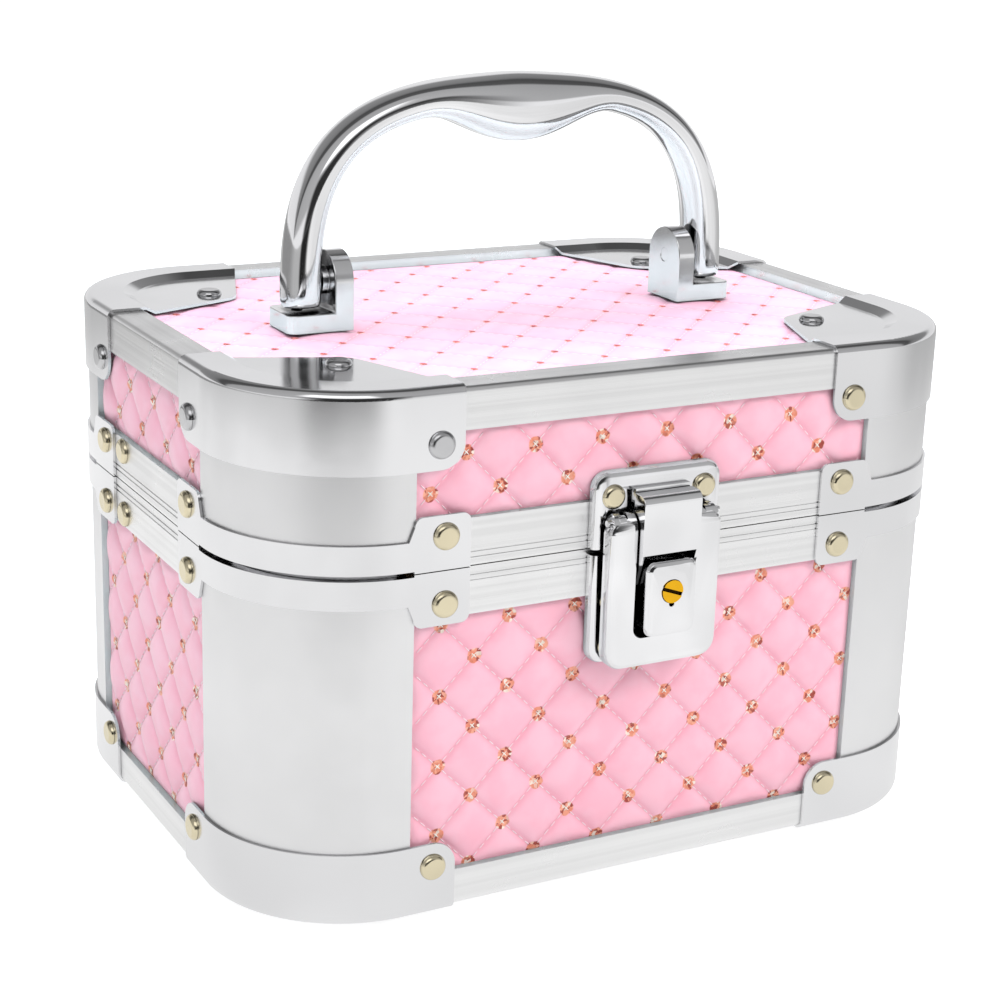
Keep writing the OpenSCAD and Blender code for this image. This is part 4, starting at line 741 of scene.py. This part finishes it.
class TRAINCASE_OT_quilt(bpy.types.Operator):
    """Quilted leather panels, blown up between their stitch lines"""

    bl_idname = "traincase.quilt"
    bl_label = "Quilted panels"

    def execute(self, context):
        settings = context.scene.quilt_settings
        leather = quilted_leather(settings)
        # The top's copy of the leather has painted overhead light: a paler, bluer pink
        top = quilted_leather(settings, "Quilted leather of the top with painted overhead light", 0.5, 0.0, 1.0)
        for node, body, side, cross in PANELS:
            self.panel(node, body, side, cross, settings, top if side == TOP else leather)
        return {"FINISHED"}

    def panel(self, node, body, side, cross, settings, leather):
        lattice = Lattice(settings, side, cross)
        at, size = panel_frame(node, side)
        half = (size[0] / 2, size[1] / 2)
        seen = (half[0] - settings.tuck, half[1] - settings.tuck)
        bm = quilt_sheet(lattice, half, side, settings)
        bm.verts.ensure_lookup_table()
        flat = [v.co.copy() for v in bm.verts]
        pinned = self.pinned(bm, lattice, seen)
        piece = finished("quilt_" + node, bm.copy(), leather, body, (node,))
        places = puff(piece, pinned)
        rise = [p.z for p in places]
        crown = settings.top_crown if side == TOP else settings.side_crown
        self.shape(bm, flat, places, rise, set(pinned), seen, crown, settings)
        self.crease(bm, flat, lattice)
        uv = bm.loops.layers.uv.new("Lattice")
        for f in bm.faces:
            for loop in f.loops:
                loop[uv].uv = lattice.numbers(loop.vert.co)
        self.flat_back(bm)
        bmesh.ops.transform(bm, matrix=at, verts=bm.verts)
        bm.to_mesh(piece.data)
        bm.free()
        piece.data.update()
        smooth_all(piece)
        fuller = piece.modifiers.new("Fuller", "SUBSURF")
        fuller.levels = fuller.render_levels = 1
        fuller.use_limit_surface = False

    def pinned(self, bm, lattice, seen):
        """The points on the stitch lines and in the margin behind the rails."""
        pinned = []
        for v in bm.verts:
            on_line = min(abs(along - round(along)) for along in lattice.numbers(v.co)) < ON_LINE
            if on_line or abs(v.co.x) > seen[0] - HAIR or abs(v.co.y) > seen[1] - HAIR:
                pinned.append(v.index)
        return pinned

    def shape(self, bm, flat, places, rise, sewn, seen, crown, settings):
        """Moves the sheet to its blown shape, scaled to the crown and eased towards the rails."""
        most = max(rise)
        for v in bm.verts:
            start, p = flat[v.index], places[v.index]
            margin = min(seen[0] - abs(start.x), seen[1] - abs(start.y))
            base = settings.valley if margin > HAIR else settings.margin
            if v.index in sewn:
                v.co = (start.x, start.y, base)
                continue
            ease = max(0.0, min(1.0, margin / EDGE_EASE))
            ease = ease * (2 - ease)
            height = max(0.0, rise[v.index] / most) ** settings.fullness * crown * ease
            v.co = (p.x, p.y, base + height)

    def crease(self, bm, flat, lattice):
        """Marks the stitch lines as creases for the subdivision."""
        line = bm.edges.layers.float.get("crease_edge") or bm.edges.layers.float.new("crease_edge")
        for e in bm.edges:
            for a, b in zip(*(lattice.numbers(flat[v.index]) for v in e.verts)):
                if max(abs(a - round(a)), abs(b - round(b))) < ON_LINE and round(a) == round(b):
                    e[line] = CREASE

    def flat_back(self, bm):
        """Closes the sheet with a flat back at height 0, and turns its faces outwards."""
        closed = bmesh.ops.extrude_face_region(bm, geom=list(bm.faces))
        for v in closed["geom"]:
            if isinstance(v, bmesh.types.BMVert):
                v.co.z = 0.0

        def at_back(verts):
            return all(abs(v.co.z) < 1e-7 for v in verts)

        bmesh.ops.recalc_face_normals(bm, faces=bm.faces)
        if sum(f.normal.z for f in bm.faces if at_back(f.verts)) > 0:
            bmesh.ops.reverse_faces(bm, faces=bm.faces)
        bmesh.ops.dissolve_limit(bm, angle_limit=0.001, verts=[v for v in bm.verts if at_back([v])],
            edges=[e for e in bm.edges if at_back(e.verts)])


class TRAINCASE_OT_stitches(bpy.types.Operator):
    """Stitches along the quilt's lines, over the foil dots"""

    bl_idname = "traincase.stitches"
    bl_label = "Stitches"

    def execute(self, context):
        settings = context.scene.quilt_settings
        thread = thread_material("Sewing thread", settings.thread)
        over = thread_material("Crossing thread", settings.cross_thread)
        coral = thread_material("Crossing thread of the top", settings.top_thread)
        for node, body, side, cross in PANELS:
            self.sew(node, body, side, cross, settings, thread, coral if side == TOP else over)
        return {"FINISHED"}

    def stitch(self, settings):
        """One stitch, a small bead that lies along x."""
        one = bmesh.new()
        bmesh.ops.create_uvsphere(one, u_segments=6, v_segments=5, radius=0.5)
        bmesh.ops.transform(one, matrix=Matrix.Rotation(math.radians(90), 4, "Y"), verts=one.verts)
        scale = (settings.stitch_length, settings.thread_width, settings.thread_width * 0.8, 1)
        bmesh.ops.transform(one, matrix=Matrix.Diagonal(scale), verts=one.verts)
        pattern = bpy.data.meshes.new("stitch")
        one.to_mesh(pattern)
        one.free()
        return pattern

    def sew(self, node, body, side, cross, settings, thread, over):
        lattice = Lattice(settings, side, cross)
        at, size = panel_frame(node, side)
        half = (size[0] / 2 - settings.tuck, size[1] / 2 - settings.tuck)
        reach = lattice.reach(half)
        edge = settings.stitch_length / 2 * 0.8
        sunk = -0.1 if side == TOP else 0.42
        layer = 0.00012
        up = settings.valley + settings.thread_width * sunk
        pattern = self.stitch(settings)
        bm = bmesh.new()
        for first in range(-reach, reach + 1):
            for turn in (0, 1):
                for number in range(-reach * settings.stitches, reach * settings.stitches + 1):
                    along = number / settings.stitches
                    m, n = (along, first) if turn == 0 else (first, along)
                    p = lattice.point(m, n)
                    if abs(p.x) > half[0] - edge or abs(p.y) > half[1] - edge:
                        continue
                    first_vert = len(bm.verts)
                    first_face = len(bm.faces)
                    bm.from_mesh(pattern)
                    bm.verts.ensure_lookup_table()
                    bm.faces.ensure_lookup_table()
                    lift = 0.0
                    if number % settings.stitches == 0:
                        lift = layer * (turn + (side == TOP))
                        for f in bm.faces[first_face:]:
                            f.material_index = 1
                    rise = lattice.pitch[1] if turn == 0 else -lattice.pitch[1]
                    spot = Matrix.Translation((p.x, p.y, up + lift)) @ Matrix.Rotation(
                        math.atan2(rise, lattice.pitch[0]), 4, "Z")
                    bmesh.ops.transform(bm, matrix=spot, verts=bm.verts[first_vert:])
        bmesh.ops.transform(bm, matrix=at, verts=bm.verts)
        bpy.data.meshes.remove(pattern)
        piece = finished("stitches_" + node, bm, thread, body)
        piece.data.materials.append(over)
        smooth_all(piece)


class TRAINCASE_OT_metalwork(bpy.types.Operator):
    """Finishes of the caps, strips, rails, columns, rivets, hinges and stays"""

    bl_idname = "traincase.metalwork"
    bl_label = "Metalwork"

    def execute(self, context):
        settings = context.scene.metal_settings
        names = sorted(NODES)
        chrome = metal("Chrome plate", settings.chrome, 0.07, 0.13, size=55.0, wave=0.16,
            crevice_shade=0.0012, dull_walls=0.07)
        finish_nodes(chrome, *[n for n in names if "_cap_" in n or "rim_corner" in n])
        satin = metal("Satin sheet", settings.satin, 0.34, 0.42, size=40.0, wave=0.08)
        finish_nodes(satin, *[n for n in names if n.endswith("corner_columns")])
        rail = metal("Drawn aluminium", settings.rail, 0.26, 0.34, size=45.0, lines=True)
        finish_nodes(rail, *[n for n in names if n.endswith("_rails")])
        rivet = self.rivet_plate(settings)
        finish_nodes(rivet, *[n for n in names if n.endswith("_rivets")])
        steel = metal("Plated steel", settings.steel, 0.2, 0.3, size=90.0, wave=0.1)
        finish_nodes(steel, "hinge_base_leaves", "hinge_lid_leaves", "hinge_pins", "stay_lower_links",
            "stay_upper_links")
        return {"FINISHED"}

    def rivet_plate(self, settings):
        """Champagne plate, greyer on the top and on the left caps of the lid."""
        low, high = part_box("lid_cap_front_left")
        plate = metal("Rivet plate", settings.rivet, 0.14, 0.24, size=200.0, wave=0.3, crevice_shade=0.0009)

        def share(tree, x, y, z):
            left_cap = product(tree, smooth(tree, z, low.z, low.z + 0.002),
                smooth(tree, x, -0.03, 0.03, 1.0, 0.0))
            return maths(tree, "MAXIMUM", left_cap, smooth(tree, z, high.z - 0.006, high.z - 0.004))

        return tint_over(plate, share, tuple(settings.grey_rivet))


class TRAINCASE_OT_latch(bpy.types.Operator):
    """Finishes of the latch and its lock"""

    bl_idname = "traincase.latch"
    bl_label = "Latch"

    def execute(self, context):
        settings = context.scene.metal_settings
        plate = toned(settings.chrome, 1.08)
        bright = metal("Latch chrome", plate, 0.06, 0.12, size=120.0, wave=0.1, crevice_shade=0.0045)
        deep = self.shade_cheeks(
            metal("Hook chrome", plate, 0.06, 0.12, size=120.0, wave=0.1, crevice_shade=0.009))
        finish_nodes(bright, "latch_lever_pins", "latch_hook_pins", "lock_bolt")
        for node, body, slot, width in LATCH_PIECES:
            softened(node, body, width, deep if node == "latch_hook" else bright,
                settings.lever_roll if node == "latch_lever" else 0.0)
        finish_nodes(self.brass(settings), "lock_cylinder")
        return {"FINISHED"}

    def shade_cheeks(self, material):
        """Painted shade on the hook's cheeks below its bent front, where they lie in the dark gap."""
        low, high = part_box("latch_hook")

        def share(tree, x, y, z):
            # Below the bent front the hook's colour is painted dark as shade
            return smooth(tree, z, low.z + 0.0074, low.z + 0.0068)

        return tint_over(material, share, PAINTED_CHEEK_SHADE)

    def brass(self, settings):
        """Bright brass, with painted shade in the key slot and round the rim, on all that lies behind its
        front face.
        """
        low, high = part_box("lock_cylinder")

        def share(tree, x, y, z):
            # Painted shade: dark from just behind the cylinder's front face
            return smooth(tree, y, low.y + 0.00006, low.y + 0.00025)

        plate = metal("Bright brass", settings.brass, 0.12, 0.2, size=420.0, wave=0.9)
        return tint_over(plate, share, PAINTED_SLOT_SHADE)


class TRAINCASE_OT_handle(bpy.types.Operator):
    """The cast handle with its swelling grip, and its brackets and pins"""

    bl_idname = "traincase.handle"
    bl_label = "Handle"

    def execute(self, context):
        plate = context.scene.metal_settings.chrome
        chrome = metal("Handle chrome", toned(plate, 1.08), 0.05, 0.1, size=70.0, wave=0.1,
            crevice_shade=0.002)
        self.bow(context.scene.handle_settings, chrome)
        cast = metal("Bracket chrome", toned(plate, 1.05), 0.11, 0.19, size=160.0, wave=0.3,
            crevice_shade=0.004)
        for side in ("left", "right"):
            softened("handle_bracket_" + side, "lid", 0.0009, cast)
        finish_nodes(cast, "handle_pins")
        return {"FINISHED"}

    def bow(self, settings, chrome):
        """The handle, as rings of points that are extruded along the bow from leg to leg."""
        low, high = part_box("handle")
        pins_low, pins_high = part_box("handle_pins")
        pivot = (pins_low + pins_high) / 2
        foot = pivot.z - settings.leg_width / 2
        reach = high.x - settings.leg_thickness / 2
        rise = high.z - foot + settings.grip_drop - settings.grip_thickness / 2

        def swell(x, half):
            return math.cos(math.pi / 2 * x / half) ** 2 if abs(x) < half else 0.0

        def middle(turn):
            radius = ((abs(math.cos(turn)) / reach) ** 3 + (math.sin(turn) / rise) ** 3) ** (-1 / 3)
            x = -radius * math.cos(turn)
            hang = settings.grip_drop * swell(x, settings.grip_half)
            return Vector((x, 0, foot + radius * math.sin(turn) - hang))

        def section(turn):
            """Place, outward direction, thickness and width of the bow."""
            at = middle(turn)
            ahead = middle(min(math.pi, turn + 0.01)) - middle(max(0.0, turn - 0.01))
            out = Vector((-ahead.z, 0, ahead.x)).normalized()
            thick = settings.leg_thickness - settings.waist * math.sin(2 * turn) ** 2
            thick += (settings.grip_thickness - settings.leg_thickness) * swell(at.x, settings.grip_half)
            wide = settings.leg_width
            wide += (settings.grip_width - settings.leg_width) * swell(at.x, settings.grip_half * 1.6)
            drop = max(0.0, pivot.z - at.z)
            if drop:
                square = settings.end_squareness
                wide *= max(1e-4, 1 - (2 * drop / settings.leg_width) ** square) ** (1 / square)
            return at, out, thick, wide

        bm = bmesh.new()
        ring = bmesh.ops.create_circle(bm, segments=settings.facets, radius=1.0)["verts"]
        spoke = {v: math.atan2(v.co.y, v.co.x) for v in ring}
        edges = list(bm.edges)
        for number, turn in enumerate(self.stations(settings, reach)):
            if number:
                edges, spoke = self.next_ring(bm, edges, spoke)
            else:
                bmesh.ops.edgeloop_fill(bm, edges=edges)
            at, out, thick, wide = section(turn)
            for v, angle in spoke.items():
                c, d = math.cos(angle), math.sin(angle)
                across = math.copysign(abs(c) ** settings.roundness, c) * thick / 2
                deep = math.copysign(abs(d) ** settings.roundness, d) * wide / 2
                v.co = at + out * across + Vector((0, pivot.y + deep, 0))
        bmesh.ops.edgeloop_fill(bm, edges=edges)
        bmesh.ops.recalc_face_normals(bm, faces=bm.faces)
        piece = finished("handle_arch", bm, chrome, "handle", ("handle",))
        shade_smooth(piece, math.radians(50))

    def stations(self, settings, reach):
        """Turns along the bow, close together in the rounded ends of the legs."""
        close, count = 12, 110
        end = math.asin(settings.leg_width / reach)
        near = [end * (1 - math.cos(math.pi / 2 * (i + 0.4) / close)) for i in range(close)]
        along = [end + (math.pi - 2 * end) * i / count for i in range(count + 1)]
        return near + along + [math.pi - t for t in reversed(near)]

    def next_ring(self, bm, edges, spoke):
        """Extrudes the open ring, and returns the new one with each point's angle."""
        grown = bmesh.ops.extrude_edge_only(bm, edges=edges)["geom"]
        edges = [g for g in grown if isinstance(g, bmesh.types.BMEdge)
            and all(v not in spoke for v in g.verts)]
        fresh = {}
        for v in (g for g in grown if isinstance(g, bmesh.types.BMVert)):
            others = (e.other_vert(v) for e in v.link_edges)
            fresh[v] = next(spoke[other] for other in others if other in spoke)
        return edges, fresh


class TRAINCASE_OT_inside(bpy.types.Operator):
    """Finishes of the boards, the lining and the mirror"""

    bl_idname = "traincase.inside"
    bl_label = "Inside"

    def execute(self, context):
        finish_nodes(flock_material("Flock lining", FLOCK), "base_lining", "lid_lining", "mirror_frame")
        finish_nodes(board_material("Fibreboard", *FIBREBOARD), "base_wall_board", "lid_wall_board",
            "lid_top_board")
        finish_nodes(board_material("Bottom board", *BOTTOM_BOARD), "base_floor_board")
        finish_nodes(mirror_material(), "mirror_glass")
        return {"FINISHED"}


class TRAINCASE_OT_studio(bpy.types.Operator):
    """Camera, floor, soft lights and the surroundings that the metal mirrors"""

    bl_idname = "traincase.studio"
    bl_label = "Studio"

    def execute(self, context):
        settings = context.scene.studio_settings
        scene = context.scene
        self.camera(scene)
        self.floor(scene, settings)
        self.lights(scene, settings)
        self.surroundings(scene, settings)
        scene.view_settings.view_transform = "Standard"
        return {"FINISHED"}

    def camera(self, scene):
        lens = bpy.data.cameras.new("Camera")
        lens.sensor_width = 36.0
        lens.lens = CAMERA_LENS
        lens.clip_start = 0.05
        lens.clip_end = 20.0
        camera = bpy.data.objects.new("Camera", lens)
        scene.collection.objects.link(camera)
        turn = Matrix((CAMERA_RIGHT, -CAMERA_DOWN, -CAMERA_AHEAD)).transposed().to_4x4()
        camera.matrix_world = Matrix.Translation(Vector(CAMERA_PLACE) * MM) @ turn
        scene.camera = camera

    def floor(self, scene, settings):
        """A matt white floor, which metal sees as a table top of its own."""
        bm = bmesh.new()
        bmesh.ops.create_grid(bm, x_segments=1, y_segments=1, size=6.0)
        mesh = bpy.data.meshes.new("floor")
        bm.to_mesh(mesh)
        bm.free()
        floor = bpy.data.objects.new("floor", mesh)
        scene.collection.objects.link(floor)
        floor.location.z = -0.0001
        material, tree, shader = new_material("Studio floor")
        feed(tree, shader, Base_Color=(0.8, 0.8, 0.8, 1), Roughness=1.0, Specular_IOR_Level=0.0)
        path = tree.nodes.new("ShaderNodeLightPath").outputs
        lit = add(tree, "ShaderNodeEmission", Color=tuple(settings.backdrop),
            Strength=product(tree, path["Is Camera Ray"], 0.62))
        both = tree.nodes.new("ShaderNodeAddShader")
        mirrored = add(tree, "ShaderNodeEmission", Color=self.table_top(tree))
        choice = add(tree, "ShaderNodeMixShader", Fac=path["Is Glossy Ray"])
        for source, socket in ((shader, both.inputs[0]), (lit, both.inputs[1]),
                (both, choice.inputs[1]), (mirrored, choice.inputs[2]),
                (choice, tree.nodes["Material Output"].inputs["Surface"])):
            tree.links.new(source.outputs[0], socket)
        mesh.materials.append(material)

    def table_top(self, tree):
        """What the metal's walls mirror: a white table, dark far off towards the camera.

        It is greyer far off at the left and behind, and a little greyer to the right.
        """
        where = object_place(tree)
        x, y = axes(tree, where)[:2]
        flat = from_axis(tree, x, y)
        facing = self.facing(tree, x, y, flat)
        clouds = noise(tree, where, Scale=5.0, Detail=2.0)
        level = maths(tree, "ADD", smooth(tree, flat, 0.10, 0.24, 0.87, 0.99),
            centred(tree, clouds.outputs["Fac"], 0.25))
        far = smooth(tree, flat, 0.575, 0.70)
        ahead = product(tree, smooth(tree, facing, 0.84, 0.97), far)
        left = product(tree, smooth(tree, x, -0.42, -0.30, 1.0, 0.0), far)
        behind = product(tree, smooth(tree, facing, 0.5, -0.3), smooth(tree, flat, 0.45, 0.75))
        for mask, share in ((ahead, 0.96), (left, 0.50), (behind, 0.4)):
            level = dimmed(tree, level, mask, share)
        level = product(tree, level, smooth(tree, x, 0.0, 0.36, 1.02, 0.87))
        grey = tree.nodes.new("ShaderNodeCombineColor")
        for socket in grey.inputs:
            plug(tree, level, socket)
        return grey.outputs[0]

    def facing(self, tree, x, y, flat, aside=0.0):
        """Cosine of the angle, seen from above, to a direction so many degrees aside of the camera's."""
        turn = math.radians(aside)
        side = CAMERA_SIDE.x * math.cos(turn) - CAMERA_SIDE.y * math.sin(turn)
        deep = CAMERA_SIDE.x * math.sin(turn) + CAMERA_SIDE.y * math.cos(turn)
        toward = maths(tree, "ADD", product(tree, x, side), product(tree, y, deep))
        return maths(tree, "DIVIDE", toward, maths(tree, "MAXIMUM", flat, 1e-4))

    def lights(self, scene, settings):
        for name, at, size, energy, tint in (
                ("Key", (0.55, -0.75, 0.95), 0.7, settings.key_power, WHITE),
                ("Over", (-0.1, 0.2, 1.2), 0.9, settings.over_power, OVERHEAD_TINT),
                ("Side", (-1.0, -0.1, 0.5), 0.6, settings.side_power, SIDE_TINT)):
            data = bpy.data.lights.new(name, "AREA")
            data.shape = "SQUARE"
            data.size = size
            data.energy = energy
            data.color = tint
            lamp = bpy.data.objects.new(name, data)
            lamp.location = at
            lamp.rotation_euler = (LIT_MIDDLE - Vector(at)).to_track_quat("-Z", "Y").to_euler()
            lamp.visible_glossy = False
            scene.collection.objects.link(lamp)

    def surroundings(self, scene, settings):
        """Even light, white to the camera, and a plain room of pale and dark cards to the metal."""
        world = bpy.data.worlds.new("Studio")
        world.use_nodes = True
        scene.world = world
        tree = world.node_tree
        where = tree.nodes.new("ShaderNodeTexCoord").outputs["Generated"]
        x, y, up = axes(tree, where)
        flat = maths(tree, "SQRT", maths(tree, "SUBTRACT", 1.0, product(tree, up, up)))

        def between(low, high, soft):
            """Mask of the directions between two heights, in degrees above the horizon."""
            low, high, soft = (math.radians(v) for v in (low, high, soft))
            past = min(high + soft, math.pi / 2)
            over = smooth(tree, up, math.sin(low - soft), math.sin(low + soft))
            under = smooth(tree, up, math.sin(high - soft), math.sin(past), 1.0, 0.0)
            return product(tree, over, under)

        def around(aside, half, soft):
            """Mask of the directions within an angle of one that is aside of the camera's, in degrees."""
            outer, inner = (math.cos(math.radians(v)) for v in (half + soft, half - soft))
            return smooth(tree, self.facing(tree, x, y, flat, aside), outer, inner)

        over = maths(tree, "ARCTAN2", up, product(tree, self.facing(tree, x, y, flat), flat))
        room = self.greys(tree, maths(tree, "DIVIDE", over, math.pi))
        # A bright card high over the camera, and a dark one low beside it
        for level, mask in ((1.4, product(tree, around(0, 30, 6), between(30, 60, 4))),
                (0.03, product(tree, around(14, 34, 12), between(-5, 24, 6)))):
            room = mix_colour(tree, mask, room, (level, level, level * 1.01, 1))
        path = tree.nodes.new("ShaderNodeLightPath").outputs
        shiny = maths(tree, "MAXIMUM", path["Is Glossy Ray"], path["Is Transmission Ray"])
        light = mix_colour(tree, shiny, (settings.fill,) * 3 + (1,), room)
        light = mix_colour(tree, path["Is Camera Ray"], light, tuple(settings.backdrop))
        feed(tree, tree.nodes["Background"], Color=light, Strength=1.0)

    def greys(self, tree, turn):
        """The room's greys over half a turn, from the camera's horizon to the horizon behind."""
        ramp = add(tree, "ShaderNodeValToRGB", Fac=turn)
        elements = ramp.color_ramp.elements
        for degrees, level in ROOM_GREYS[1:-1]:
            elements.new(degrees / 180)
        for element, (degrees, level) in zip(elements, ROOM_GREYS):
            element.position = degrees / 180
            element.color = (level, level, level * 1.01, 1)
        return ramp.outputs[0]


OPERATORS = (TRAINCASE_OT_studio, TRAINCASE_OT_metalwork, TRAINCASE_OT_latch, TRAINCASE_OT_handle,
    TRAINCASE_OT_inside, TRAINCASE_OT_quilt, TRAINCASE_OT_stitches)


class TRAINCASE_PT_panel(bpy.types.Panel):
    """Lists the steps that dress the case"""

    bl_idname = "TRAINCASE_PT_panel"
    bl_label = "Train case"
    bl_space_type = "VIEW_3D"
    bl_region_type = "UI"
    bl_category = "Train case"

    def draw(self, context):
        for group in SETTINGS:
            settings = getattr(context.scene, group)
            for name in settings.__annotations__:
                self.layout.prop(settings, name)
        for operator in OPERATORS:
            self.layout.operator(operator.bl_idname)


CLASSES = tuple(SETTINGS.values()) + OPERATORS + (TRAINCASE_PT_panel,)


def register():
    for cls in CLASSES:
        bpy.utils.register_class(cls)
    for name, group in SETTINGS.items():
        setattr(bpy.types.Scene, name, PointerProperty(type=group))


def unregister():
    for name in SETTINGS:
        delattr(bpy.types.Scene, name)
    for cls in reversed(CLASSES):
        bpy.utils.unregister_class(cls)


def main():
    register()
    bpy.ops.traincase.studio()
    bpy.ops.traincase.metalwork()
    bpy.ops.traincase.latch()
    bpy.ops.traincase.handle()
    bpy.ops.traincase.inside()
    bpy.ops.traincase.quilt()
    bpy.ops.traincase.stitches()
    bpy.context.view_layer.update()


if __name__ == "__main__":
    main()
